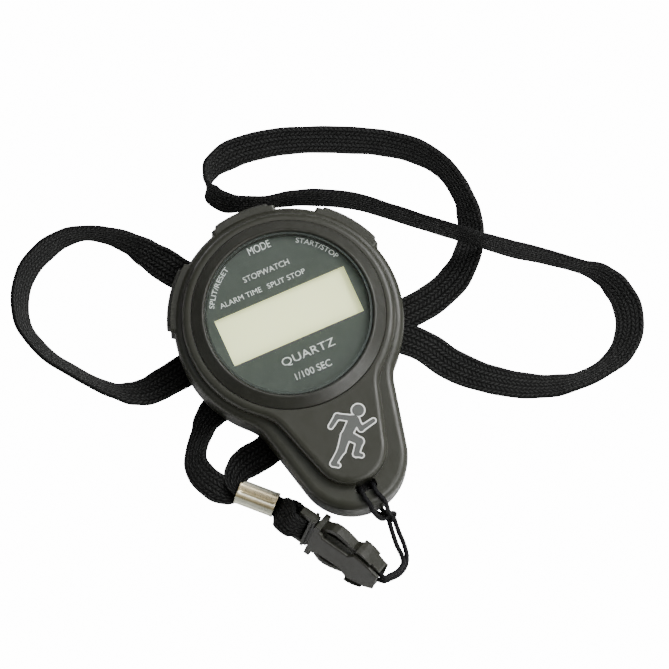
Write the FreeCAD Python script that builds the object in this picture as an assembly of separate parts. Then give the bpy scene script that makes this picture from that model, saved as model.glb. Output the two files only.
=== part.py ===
import FreeCAD, Part
import math
import os

# Digital sports stopwatch with neck strap. Units are millimetres.
# Origin: on the centre axis of the round case, in the plane of the case back.
# +Z points out of the dial, +Y to the mode button, -Y to the tail.

Vector = FreeCAD.Vector
X_DIR, Y_DIR, UP = Vector(1, 0, 0), Vector(0, 1, 0), Vector(0, 0, 1)
os.makedirs("parts", exist_ok=True)

# ---------------------------------------------------------------- case dimensions
# pear outlines: radius of the round part, waist fillet, tail radius, y of the tail's centre,
# taper of the tail's flanks in degrees
CASE_OUTLINE = (31.2, 12.0, 15.3, -41.5, 13.0)
DECK_OUTLINE = (28.9, 12.0, 10.3, -40.0, 17.0)
SPLIT_Z = 8.0                     # underside of the front shell
BACK_TOP_Z = SPLIT_Z - 0.05       # top of the back shell
BACK_INSET = 0.25                 # back shell's outline inside the front shell's
LEDGE_Z = 12.8                    # top of the outer ledge
DECK_Z = 16.0                     # top of the raised deck
CEIL_Z = 13.6                     # underside of the deck
WALL = 2.0
FLOOR = 1.6
TAIL_STOP_Y = -47.6               # end of the cavities in the tail
APERTURE_R = 22.2
RECESS_R, RECESS_Z = 26.5, 14.9   # bezel recess and its floor
SLOT_Y0, SLOT_Y1, SLOT_HALF_X = -52.6, -50.0, 3.0   # lanyard slot
BOSS_R = 2.3

# buttons: angle about Z from +Y, cap width
BUTTONS = {"mode": (0.0, 15.6), "start_stop": (-55.0, 16.4), "split_reset": (55.0, 16.4)}
CAP_R = 33.1                      # outer face of a button cap
COLLAR_R = 32.1
CAP_Z0, CAP_Z1 = 4.9, 11.0
CAP_GAP = 0.15                    # clearance round a cap in its opening

BOARD_R = 26.0
BOARD_Z0, BOARD_Z1 = 9.2, 10.2
UNDER_BOARD_Z = BOARD_Z0 - 0.05   # top of what is mounted under the board


# ---------------------------------------------------------------- helpers
def save(name, shape):
    solids = shape.Solids
    shape = solids[0] if len(solids) == 1 else Part.makeCompound(solids)
    shape.exportStep("parts/" + name + ".step")


def cylinder(radius, z0, z1, x=0.0, y=0.0):
    return Part.makeCylinder(radius, z1 - z0, Vector(x, y, z0), UP)


def box(x0, x1, y0, y1, z0, z1):
    return Part.makeBox(x1 - x0, y1 - y0, z1 - z0, Vector(x0, y0, z0))


def polar(radius, degrees):
    """Place at an angle from +Y, counterclockwise seen from +Z."""
    angle = math.radians(degrees)
    return -radius * math.sin(angle), radius * math.cos(angle)


def turned(shape, degrees):
    result = shape.copy()
    result.rotate(Vector(0, 0, 0), UP, degrees)
    return result


def pear_wire(outline, inset, z):
    """Closed pear outline, moved inwards by inset, at height z."""
    round_r, waist_r, tail_r, tail_y, taper = outline
    round_r, waist_r, tail_r = round_r - inset, waist_r + inset, tail_r - inset
    angle = math.radians(taper)
    normal = Vector(math.cos(angle), -math.sin(angle), 0)
    along = Vector(math.sin(angle), math.cos(angle), 0)
    flank = normal.y * tail_y + tail_r      # distance of the flank line from the origin
    reach = math.sqrt((round_r + waist_r) ** 2 - (flank + waist_r) ** 2)
    waist = normal * (flank + waist_r) - along * reach
    round_end = waist * (round_r / (round_r + waist_r))
    flank_top = waist - normal * waist_r
    flank_low = Vector(0, tail_y, 0) + normal * tail_r
    waist_mid = waist + ((round_end - waist) + (flank_top - waist)).normalize() * waist_r

    def right(point):
        return Vector(point.x, point.y, z)

    def left(point):
        return Vector(-point.x, point.y, z)

    return Part.Wire([
        Part.Arc(right(round_end), Vector(0, round_r, z), left(round_end)).toShape(),
        Part.Arc(left(round_end), left(waist_mid), left(flank_top)).toShape(),
        Part.LineSegment(left(flank_top), left(flank_low)).toShape(),
        Part.Arc(left(flank_low), Vector(0, tail_y - tail_r, z), right(flank_low)).toShape(),
        Part.LineSegment(right(flank_low), right(flank_top)).toShape(),
        Part.Arc(right(flank_top), right(waist_mid), right(round_end)).toShape(),
    ])


def pear_prism(outline, inset, z0, z1):
    return Part.Face(pear_wire(outline, inset, z0)).extrude(Vector(0, 0, z1 - z0))


def edges_at(shape, z, tolerance=1e-4):
    """Edges that lie in the plane at height z."""
    return [e for e in shape.Edges
            if abs(e.BoundBox.ZMin - z) < tolerance and abs(e.BoundBox.ZMax - z) < tolerance]


def edges_along(shape, axis):
    """Edges of a box that run along axis "X", "Y" or "Z"."""
    return [e for e in shape.Edges
            if abs(getattr(e.Vertexes[0], axis) - getattr(e.Vertexes[1], axis)) > 1]


def polygon_face(points):
    return Part.Face(Part.makePolygon(points + [points[0]]))


def revolve(profile):
    """Solid of revolution about Z from (radius, z) points."""
    face = polygon_face([Vector(radius, 0, z) for radius, z in profile])
    return face.revolve(Vector(0, 0, 0), UP, 360)


def sewn_solid(faces):
    shell = Part.makeShell(faces)
    shell.sewShape()
    solid = Part.makeSolid(shell)
    if solid.Volume < 0:
        solid.reverse()
    return solid


# ---------------------------------------------------------------- shells
CASE_SCREWS = [polar(27.0, 27.5), polar(27.0, -27.5), polar(26.8, 129.0), polar(26.8, -129.0),
               (0.0, -37.5)]
BOARD_SCREWS = [(-24.6, 0.0), (24.6, 0.0), (0.0, -24.6)]


def button_opening(name):
    """The straight-sided opening a cap slides in."""
    angle, width = BUTTONS[name]
    half = width / 2 + CAP_GAP
    return turned(box(-half, half, 26.0, 40.0, CAP_Z0 - CAP_GAP, CAP_Z1 + CAP_GAP), angle)


def button_collar(name):
    angle, width = BUTTONS[name]
    half = width / 2 + 1.5
    collar = box(-half, half, 28.6, 34.0, CAP_Z0 - 1.3, CAP_Z1 + 1.25)
    collar = collar.makeFillet(0.9, edges_along(collar, "Y"))
    return turned(collar.common(cylinder(COLLAR_R, -1, 20)), angle)


def add_collars(shell, z0, z1):
    """Fuse on the part of each collar between two heights."""
    space = box(-100, 100, -100, 100, z0, z1)
    return shell.fuse([button_collar(name).common(space) for name in BUTTONS])


def add_case_bosses(shell, z0, z1):
    for x, y in CASE_SCREWS:
        boss = cylinder(BOSS_R, z0, z1, x, y)
        shell = shell.fuse(boss.common(pear_prism(CASE_OUTLINE, 0.5, 0, 20)))
    return shell


def cut_openings(shell):
    """Cut the button openings and the lanyard slot."""
    for name in BUTTONS:
        shell = shell.cut(button_opening(name))
    slot = box(-SLOT_HALF_X, SLOT_HALF_X, SLOT_Y0, SLOT_Y1, -5, 30)
    slot = slot.makeFillet(0.9, edges_along(slot, "Z"))
    return shell.cut(slot).removeSplitter()


def cavity_limit():
    return box(-40, 40, TAIL_STOP_Y, 60, -1, 30)


def front_shell():
    ledge = pear_prism(CASE_OUTLINE, 0, SPLIT_Z, LEDGE_Z)
    ledge = ledge.makeFillet(2.1, edges_at(ledge, LEDGE_Z))
    deck = pear_prism(DECK_OUTLINE, 0, LEDGE_Z - 1.0, DECK_Z)
    deck = deck.makeFillet(1.7, edges_at(deck, DECK_Z))
    shell = add_collars(ledge.fuse(deck), SPLIT_Z, SPLIT_Z + 30)

    low = pear_prism(CASE_OUTLINE, WALL, SPLIT_Z - 1, 11.0).common(cavity_limit())
    high = pear_prism(DECK_OUTLINE, WALL, 10.0, CEIL_Z).common(cavity_limit())
    shell = shell.cut(low.fuse(high))

    boss_top = CEIL_Z + 0.2       # runs into the deck
    shell = add_case_bosses(shell, SPLIT_Z, boss_top)
    for x, y in BOARD_SCREWS:
        shell = shell.fuse(cylinder(1.6, BOARD_Z1 + 0.05, boss_top, x, y))
    for x, y in CASE_SCREWS:
        shell = shell.cut(cylinder(0.95, SPLIT_Z - 0.5, 12.6, x, y))
    for x, y in BOARD_SCREWS:
        shell = shell.cut(cylinder(0.65, 9.5, 13.2, x, y))

    shell = shell.cut(cylinder(APERTURE_R, 5, 20)).cut(cylinder(RECESS_R, RECESS_Z, 20))
    return cut_openings(shell)


def back_shell():
    shell = pear_prism(CASE_OUTLINE, BACK_INSET, 0, BACK_TOP_Z)
    shell = shell.makeFillet(2.8, edges_at(shell, 0))
    shell = add_collars(shell, BACK_TOP_Z - 30, BACK_TOP_Z)

    cavity = pear_prism(CASE_OUTLINE, WALL + BACK_INSET, FLOOR, SPLIT_Z + 1)
    cavity = cavity.makeFillet(1.2, edges_at(cavity, FLOOR)).common(cavity_limit())
    shell = add_case_bosses(shell.cut(cavity), 0.5, BACK_TOP_Z)
    for x, y in CASE_SCREWS:
        shell = shell.cut(cylinder(1.1, -1, SPLIT_Z + 1, x, y))
        shell = shell.cut(cylinder(2.1, -1, 1.9, x, y))     # counterbore for the head
    return cut_openings(shell)


save("front_shell", front_shell())
save("back_shell", back_shell())

# ---------------------------------------------------------------- dial group
# (radius, z)
BEZEL_PROFILE = [
    (22.75, 16.2), (22.2, 16.2), (22.2, 15.45), (23.7, 15.45), (23.7, 14.95), (26.4, 14.95),
    (26.4, 16.15), (26.2, 16.4), (23.75, 18.15), (23.45, 18.3), (23.1, 18.25), (22.9, 18.0),
    (22.75, 17.6),
]
LENS_PROFILE = [(0, 16.25), (22.5, 16.25), (22.62, 16.4), (22.62, 17.9), (22.1, 18.45),
                (0, 18.45)]
WINDOW_X, WINDOW_Y = 38.2, 13.7   # display window in the dial
WINDOW_Y0 = -7.05
LCD_HALF_X, LCD_HALF_Y = 20.6, 9.6
LCD_Y = -0.2                      # y of the display's centre
FRONT_GLASS_Z0, FRONT_GLASS_Z1 = 12.4, 13.5
REAR_GLASS_Z0, REAR_GLASS_Z1 = 11.25, 12.35


def display_block(half_x, half_y, z0, z1):
    return box(-half_x, half_x, LCD_Y - half_y, LCD_Y + half_y, z0, z1)


def dial_plate():
    window = box(-WINDOW_X / 2, WINDOW_X / 2, WINDOW_Y0, WINDOW_Y0 + WINDOW_Y, 10, 20)
    return cylinder(23.5, 14.95, 15.35).cut(window)


def lcd_frame():
    frame = cylinder(24.3, 10.3, FRONT_GLASS_Z1)
    for x, y in BOARD_SCREWS:
        frame = frame.cut(cylinder(1.8, 5, 20, x, y))
    for x, y in CASE_SCREWS:
        frame = frame.cut(cylinder(2.6, 5, 20, x, y))
    frame = frame.cut(display_block(LCD_HALF_X + 0.1, LCD_HALF_Y + 0.1, 5, 20))
    for side in (-1, 1):
        for y in (15.2, -15.6):
            frame = frame.cut(cylinder(5.0, 5, 20, 9.0 * side, y))
    return frame


def zebra_strip(side):
    y = LCD_Y + side * 8.75
    return box(-19.5, 19.5, y - 0.75, y + 0.75, BOARD_Z1 + 0.05, REAR_GLASS_Z1)


save("bezel_ring", revolve(BEZEL_PROFILE))
save("lens", revolve(LENS_PROFILE))
save("dial_plate", dial_plate())
save("lcd_front_glass", display_block(LCD_HALF_X, LCD_HALF_Y, FRONT_GLASS_Z0, FRONT_GLASS_Z1))
save("lcd_rear_glass", display_block(LCD_HALF_X, 7.7, REAR_GLASS_Z0, REAR_GLASS_Z1))
save("lcd_reflector", display_block(19.8, 7.6, 10.9, 11.2))
save("lcd_frame", lcd_frame())
save("zebra_strip_upper", zebra_strip(1))
save("zebra_strip_lower", zebra_strip(-1))

# ---------------------------------------------------------------- electronics
CHIP_PLACES = [(-14, -6), (-14, -9), (6.0, 13.0), (10.0, 13.0), (-3.0, -17.0)]
CHIP_X, CHIP_Y = 1.6, 0.9
CRYSTAL_Y, CRYSTAL_Z = -12.0, 8.1
BATTERY_X, BATTERY_Y = 11.0, -9.5
BATTERY_Z0 = 2.45
CONTACT_Z0 = 8.95                 # underside of the contact feet under the board
BUZZER_X, BUZZER_Y = -9.5, 5.0
SPRING_R, SPRING_WIRE_R = 1.5, 0.2
SPRING_PITCH, SPRING_HEIGHT = 1.15, 5.9


def circuit_board():
    board = cylinder(BOARD_R, BOARD_Z0, BOARD_Z1)
    for x, y in CASE_SCREWS:
        board = board.cut(cylinder(2.75, 5, 20, x, y))
    for x, y in BOARD_SCREWS:
        board = board.cut(cylinder(0.9, 5, 20, x, y))
    return board


def cross_screw(x, y, shank, head, cross_half, cross_half_width, cross_z):
    """Screw with its head below; shank and head are (radius, z0, z1)."""
    screw = cylinder(*shank, x, y).fuse(cylinder(*head, x, y))
    for half_x, half_y in ((cross_half, cross_half_width), (cross_half_width, cross_half)):
        screw = screw.cut(box(x - half_x, x + half_x, y - half_y, y + half_y, *cross_z))
    return screw


def board_screws():
    return Part.makeCompound([
        cross_screw(x, y, shank=(0.6, 8.9, 13.0), head=(1.4, 8.3, 9.15),
                    cross_half=0.9, cross_half_width=0.15, cross_z=(8.0, 8.7))
        for x, y in BOARD_SCREWS])


def case_screws():
    return Part.makeCompound([
        cross_screw(x, y, shank=(0.9, 1.5, 12.0), head=(1.95, 0.3, 1.85),
                    cross_half=1.2, cross_half_width=0.22, cross_z=(0.0, 1.1)).removeSplitter()
        for x, y in CASE_SCREWS])


def chip_encapsulation():
    """Cap of a sphere hanging under the board."""
    sphere = Part.makeSphere(7.5, Vector(0, 3.0, UNDER_BOARD_Z + 6.0))
    return sphere.common(box(-10, 10, -7, 13, 0, UNDER_BOARD_Z))


def quartz_crystal():
    can = Part.makeCylinder(1.0, 6.2, Vector(-7.5, CRYSTAL_Y, CRYSTAL_Z), X_DIR)
    return can.fuse(Part.makeCylinder(0.75, 0.5, Vector(-8.0, CRYSTAL_Y, CRYSTAL_Z), X_DIR))


def chip_components():
    return Part.makeCompound([
        box(x, x + CHIP_X, y, y + CHIP_Y, 8.55, UNDER_BOARD_Z) for x, y in CHIP_PLACES])


def battery():
    cell = cylinder(5.8, BATTERY_Z0, 7.35, BATTERY_X, BATTERY_Y)
    cell = cell.fuse(cylinder(5.2, 7.2, 7.7, BATTERY_X, BATTERY_Y))
    return cell.makeFillet(0.4, edges_at(cell, BATTERY_Z0))


def battery_strip(x0, x1, half_y, z0, z1):
    """Flat piece of a contact, placed from the battery's axis."""
    return box(BATTERY_X + x0, BATTERY_X + x1, BATTERY_Y - half_y, BATTERY_Y + half_y, z0, z1)


def battery_clip_positive():
    clip = battery_strip(-2.5, 7.6, 2.0, 2.1, 2.4)
    clip = clip.fuse(battery_strip(7.3, 7.6, 2.0, 2.1, UNDER_BOARD_Z))
    clip = clip.fuse(battery_strip(6.4, 7.6, 2.0, 8.9, UNDER_BOARD_Z))
    return clip.removeSplitter()


def battery_spring_negative():
    foot = battery_strip(-4.5, -1.0, 1.5, CONTACT_Z0, UNDER_BOARD_Z)
    arm = battery_strip(-1.2, 3.0, 1.5, CONTACT_Z0, UNDER_BOARD_Z)
    arm.rotate(Vector(BATTERY_X - 1.2, BATTERY_Y, CONTACT_Z0), Y_DIR, 12)
    return foot.fuse(arm).removeSplitter()


def buzzer_disc():
    disc = cylinder(12.0, 1.65, 1.85, BUZZER_X, BUZZER_Y)
    return disc.fuse(cylinder(8.5, 1.85, 2.0, BUZZER_X, BUZZER_Y)).removeSplitter()


def buzzer_spring():
    path = Part.Wire(Part.makeHelix(SPRING_PITCH, SPRING_HEIGHT, SPRING_R))
    circle = Part.Circle(Vector(SPRING_R, 0, 0), Y_DIR, SPRING_WIRE_R)
    sweep = Part.BRepOffsetAPI.MakePipeShell(path)
    sweep.setFrenetMode(True)
    sweep.add(Part.Wire(circle.toShape()))
    sweep.build()
    sweep.makeSolid()
    spring = sweep.shape()
    spring.translate(Vector(BUZZER_X, BUZZER_Y, 2.35))
    return spring


save("circuit_board", circuit_board())
save("board_screws", board_screws())
save("chip_encapsulation", chip_encapsulation())
save("quartz_crystal", quartz_crystal())
save("chip_components", chip_components())
save("battery", battery())
save("battery_clip_positive", battery_clip_positive())
save("battery_spring_negative", battery_spring_negative())
save("buzzer_disc", buzzer_disc())
save("buzzer_spring", buzzer_spring())
save("case_screws", case_screws())

# ---------------------------------------------------------------- buttons
GROOVE_HALF, GROOVE_DEPTH, GROOVE_PITCH = 0.22, 0.18, 0.95


def on_cap_face(vertex):
    return abs(math.hypot(vertex.X, vertex.Y) - CAP_R) < 1e-3


def button_cap(half):
    cap = box(-half, half, 29.0, 35.0, CAP_Z0, CAP_Z1)
    cap = cap.makeFillet(0.8, edges_along(cap, "Y"))
    cap = cap.common(cylinder(CAP_R, 0, 20))
    rim = [e for e in cap.Edges
           if min(v.Y for v in e.Vertexes) > 31.0 and all(on_cap_face(v) for v in e.Vertexes)]
    cap = cap.makeFillet(0.45, rim)
    # upright grip grooves, each square to the curved face
    x = -half + 1.5
    while x < half - 1.2:
        y = math.sqrt(CAP_R ** 2 - x ** 2)
        groove = box(-GROOVE_HALF, GROOVE_HALF, -GROOVE_DEPTH, 1.0, CAP_Z0 + 0.8, CAP_Z1 - 0.8)
        groove.rotate(Vector(0, 0, 0), UP, -math.degrees(math.atan2(x, y)))
        groove.translate(Vector(x, y, 0))
        cap = cap.cut(groove)
        x += GROOVE_PITCH
    return cap


def button(name):
    angle, width = BUTTONS[name]
    half = width / 2
    cap = button_cap(half)
    flange = box(-half - 0.7, half + 0.7, 27.6, 28.2, CAP_Z0 - 0.5, CAP_Z1 - 0.6)
    flange = flange.common(cylinder(28.9, 0, 20))
    neck = box(-half + 0.6, half - 0.6, 27.8, 29.2, CAP_Z0 + 0.7, CAP_Z1 - 0.9)
    stalk = Part.makeCylinder(0.9, 3.6, Vector(0, 24.35, 7.3), Y_DIR)
    return turned(cap.fuse([neck, flange, stalk]).removeSplitter(), angle)


def contact_leaf(name):
    leaf = box(-1.5, 1.5, 24.0, 24.2, 6.3, UNDER_BOARD_Z)
    leaf = leaf.fuse(box(-1.5, 1.5, 22.4, 24.2, CONTACT_Z0, UNDER_BOARD_Z))
    return turned(leaf.removeSplitter(), BUTTONS[name][0])


for button_name in BUTTONS:
    save(button_name + "_button", button(button_name))
    save(button_name + "_contact_leaf", contact_leaf(button_name))

# ---------------------------------------------------------------- strap hardware
# The strap, cord, buckle and crimp are set out in the strap's own axes, then turned about Z
# into the case's axes.
LAY = 24.0                           # the case lies turned by this angle to the strap's axes

BUCKLE_ORIGIN = Vector(5.65, -56.7, 4.15)   # on the buckle's axis, at the male half's shoulder
BUCKLE_ALONG = Vector(0.820, -0.5724, 0)    # towards the housing's tip
BUCKLE_ROLL = math.radians(60.0)
BUCKLE_LEVEL = UP.cross(BUCKLE_ALONG)
BUCKLE_ACROSS = BUCKLE_LEVEL * math.cos(BUCKLE_ROLL) + UP * math.sin(BUCKLE_ROLL)
BUCKLE_THROUGH = BUCKLE_LEVEL * (-math.sin(BUCKLE_ROLL)) + UP * math.cos(BUCKLE_ROLL)

CRIMP_CENTRE = Vector(-8.6, -46.95, -0.5)
CRIMP_ALONG = Vector(0.932, -0.3624, 0)
CRIMP_ACROSS = UP.cross(CRIMP_ALONG)


def frame_matrix(along, across, through, origin):
    return FreeCAD.Matrix(along.x, across.x, through.x, origin.x,
                          along.y, across.y, through.y, origin.y,
                          along.z, across.z, through.z, origin.z,
                          0, 0, 0, 1)


BUCKLE_FRAME = frame_matrix(BUCKLE_ALONG, BUCKLE_ACROSS, BUCKLE_THROUGH, BUCKLE_ORIGIN)
CRIMP_FRAME = frame_matrix(CRIMP_ALONG, CRIMP_ACROSS, UP, CRIMP_CENTRE)


def lay_to_case(shape):
    return turned(shape, -LAY)


def placed(shape, frame):
    result = shape.copy()
    result.Placement = FreeCAD.Placement(frame)
    return lay_to_case(result)


def plate(points, t0, t1):
    """Prism in the buckle's own frame from (along, across) points."""
    face = polygon_face([Vector(along, across, t0) for along, across in points])
    return face.extrude(Vector(0, 0, t1 - t0))


def slab(along0, along1, across0, across1, half_t):
    """Rectangular plate centred through the buckle's thickness."""
    return plate([(along0, across0), (along1, across0), (along1, across1), (along0, across1)],
                 -half_t, half_t)


def mirrored(points):
    """Close a half outline with its mirror image across the buckle's axis."""
    return points + [(along, -across) for along, across in reversed(points)]


HOUSING_HALF_T = 3.2     # half thickness of the housing
GAP_HALF_T = 2.25        # half height of the space between its plates
WEB_HALF_T = GAP_HALF_T + 0.1
POST_ALONG = 21.6        # the housing's cord post, along the buckle
# half outline of a housing plate: along, across
HOUSING_HALF = [(2.5, 4.1), (4.1, 4.1), (4.9, 3.15), (13.2, 3.0), (14.8, 4.5), (16.8, 4.4),
                (20.0, 3.65), (23.2, 2.6)]
# side arm, along and across: grip end, whole arm, raised cap on the grip
GRIP_OUTLINE = [(14.8, 6.25), (16.2, 6.3), (18.0, 5.85), (20.0, 5.0), (22.4, 3.85),
                (22.9, 3.4), (22.4, 3.3), (20.0, 3.35), (17.6, 3.4), (14.9, 3.4)]
ARM_OUTLINE = [
    (2.0, 4.75), (3.5, 5.0), (4.6, 5.8), (6.0, 6.65), (7.6, 6.85), (9.4, 6.6), (11.4, 6.05),
    (13.3, 5.35), (14.1, 5.7),
] + GRIP_OUTLINE + [
    (14.4, 4.4), (13.3, 4.4), (11.4, 4.9), (9.4, 5.4), (7.6, 5.6), (6.0, 5.3), (4.6, 4.4),
    (3.5, 3.75), (2.0, 3.55),
]
GRIP_CAP = GRIP_OUTLINE[:4] + [(20.0, 4.75), (18.0, 5.35), (16.2, 5.75), (14.8, 5.75)]
ARM_HALF_T = 1.7
HINGE_ALONG, HINGE_ACROSS = 2.0, 4.15


def buckle_housing():
    plates = []
    for side in (1, -1):
        inner, outer = side * GAP_HALF_T, side * HOUSING_HALF_T
        cover = plate(mirrored(HOUSING_HALF), min(inner, outer), max(inner, outer))
        plates.append(cover.makeFillet(0.35, edges_at(cover, outer)))
    mouth = slab(1.7, 3.4, -5.8, 5.8, HOUSING_HALF_T)
    mouth = mouth.makeFillet(0.25, mouth.Edges)
    mouth = mouth.cut(slab(1.2, 4.0, -5.05, 5.05, GAP_HALF_T))
    web = slab(16.6, 18.6, 2.0, -2.0, WEB_HALF_T)
    post = Part.makeCylinder(0.65, 2 * WEB_HALF_T, Vector(POST_ALONG, 0, -WEB_HALF_T), UP)
    return plates[0].fuse([plates[1], mouth, web, post]).removeSplitter()


def buckle_male_half():
    """Strap frame, shoulder and guide tongue."""
    shoulder = slab(-0.45, 0.4, -5.2, 5.2, 2.1)
    posts = [slab(-4.05, -0.4, 4.1, 5.2, 1.4), slab(-4.05, -0.4, -5.2, -4.1, 1.4)]
    bar = Part.makeCylinder(1.0, 8.8, Vector(-3.05, -4.4, 0), Y_DIR)
    neck = slab(0.3, 3.0, -2.9, 2.9, 1.6)
    ears = [slab(0.3, 1.2, side * 2.8, side * 4.9, 1.6) for side in (1, -1)]
    tongue = plate(mirrored([(2.9, -0.8), (15.5, -0.6)]), -1.5, 1.5)
    return shoulder.fuse(posts + [bar, neck, tongue] + ears).removeSplitter()


def buckle_arm(side):
    def layer(outline, half_t):
        return plate([(along, side * across) for along, across in outline], -half_t, half_t)

    arm = layer(ARM_OUTLINE, ARM_HALF_T)
    arm = arm.fuse(layer(GRIP_OUTLINE, 2.1))
    arm = arm.fuse(layer(GRIP_CAP, 2.8))
    hinge_base = Vector(HINGE_ALONG, side * HINGE_ACROSS, -ARM_HALF_T)
    return arm.fuse(Part.makeCylinder(0.6, 2 * ARM_HALF_T, hinge_base, UP)).removeSplitter()


def two_lobed_bar(radius, half_length):
    offset, length = 1.15, 2 * half_length
    lobes = [Part.makeCylinder(radius, length, Vector(-half_length, y, 0), X_DIR)
             for y in (offset, -offset)]
    middle = Part.makeBox(length, 2 * offset, 2 * radius - 0.9,
                          Vector(-half_length, -offset, -radius + 0.45))
    return lobes[0].fuse([lobes[1], middle]).removeSplitter()


def crimp_ferrule():
    """Two-lobed sleeve over the gathered strap."""
    return two_lobed_bar(2.28, 5.5).cut(two_lobed_bar(1.95, 6))


save("buckle_housing", placed(buckle_housing(), BUCKLE_FRAME))
save("buckle_male_half", placed(buckle_male_half(), BUCKLE_FRAME))
save("buckle_arm_upper", placed(buckle_arm(1), BUCKLE_FRAME))
save("buckle_arm_lower", placed(buckle_arm(-1), BUCKLE_FRAME))
save("crimp_ferrule", placed(crimp_ferrule(), CRIMP_FRAME))

# ---------------------------------------------------------------- woven strap
TABLE_Z = -2.8           # plane the strap lies on
STRAP_T = 1.2
STRAP_STEP = 2.6         # aimed distance between sections


def crimp_point(along, z):
    return CRIMP_CENTRE + CRIMP_ALONG * along + Vector(0, 0, z)


def buckle_point(along, across, through):
    return (BUCKLE_ORIGIN + BUCKLE_ALONG * along + BUCKLE_ACROSS * across
            + BUCKLE_THROUGH * through)


# width directions between the crimp and the buckle
ACROSS_NEAR_CRIMP = (CRIMP_ACROSS * 0.85 + BUCKLE_ACROSS * 0.15).normalize()
ACROSS_NEAR_BUCKLE = (CRIMP_ACROSS * 0.25 + BUCKLE_ACROSS * 0.75).normalize()
# end held in the crimp, then the loop round the buckle's bar and back through the crimp:
# point, width direction, half width, thickness
STRAP_HEAD = [
    (crimp_point(-3.0, -1.2), CRIMP_ACROSS, 1.7, 0.95),
    (crimp_point(5.65, -1.2), CRIMP_ACROSS, 1.8, 0.95),
    ((crimp_point(5.5, -1.2) + buckle_point(-5.0, 0, -1.85)) * 0.5 + Vector(0.2, 0.0, -0.6),
     ACROSS_NEAR_BUCKLE, 3.6, 1.1),
    (buckle_point(-5.2, 0, -2.4), BUCKLE_ACROSS, 3.8, 1.1),
    (buckle_point(-4.1, 0, -2.05), BUCKLE_ACROSS, 3.8, 1.1),
    (buckle_point(-3.05, 0, -1.85), BUCKLE_ACROSS, 3.9, 1.1),
    (buckle_point(-1.74, 0, -1.31), BUCKLE_ACROSS, 3.9, 1.1),
    (buckle_point(-1.2, 0, 0), BUCKLE_ACROSS, 3.9, 1.1),
    (buckle_point(-1.74, 0, 1.31), BUCKLE_ACROSS, 3.9, 1.1),
    (buckle_point(-3.05, 0, 1.85), BUCKLE_ACROSS, 3.9, 1.1),
    (buckle_point(-4.4, 0, 2.35), BUCKLE_ACROSS, 4.7, 1.1),
    ((crimp_point(5.5, -0.05) + buckle_point(-5.0, 0, 1.95)) * 0.5 + Vector(-0.1, 0.1, 0.9),
     ACROSS_NEAR_CRIMP, 4.6, 1.1),
    (crimp_point(5.65, -0.05), CRIMP_ACROSS, 2.7, 0.95),
    (crimp_point(-5.65, -0.05), CRIMP_ACROSS, 2.7, 0.95),
]
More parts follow.
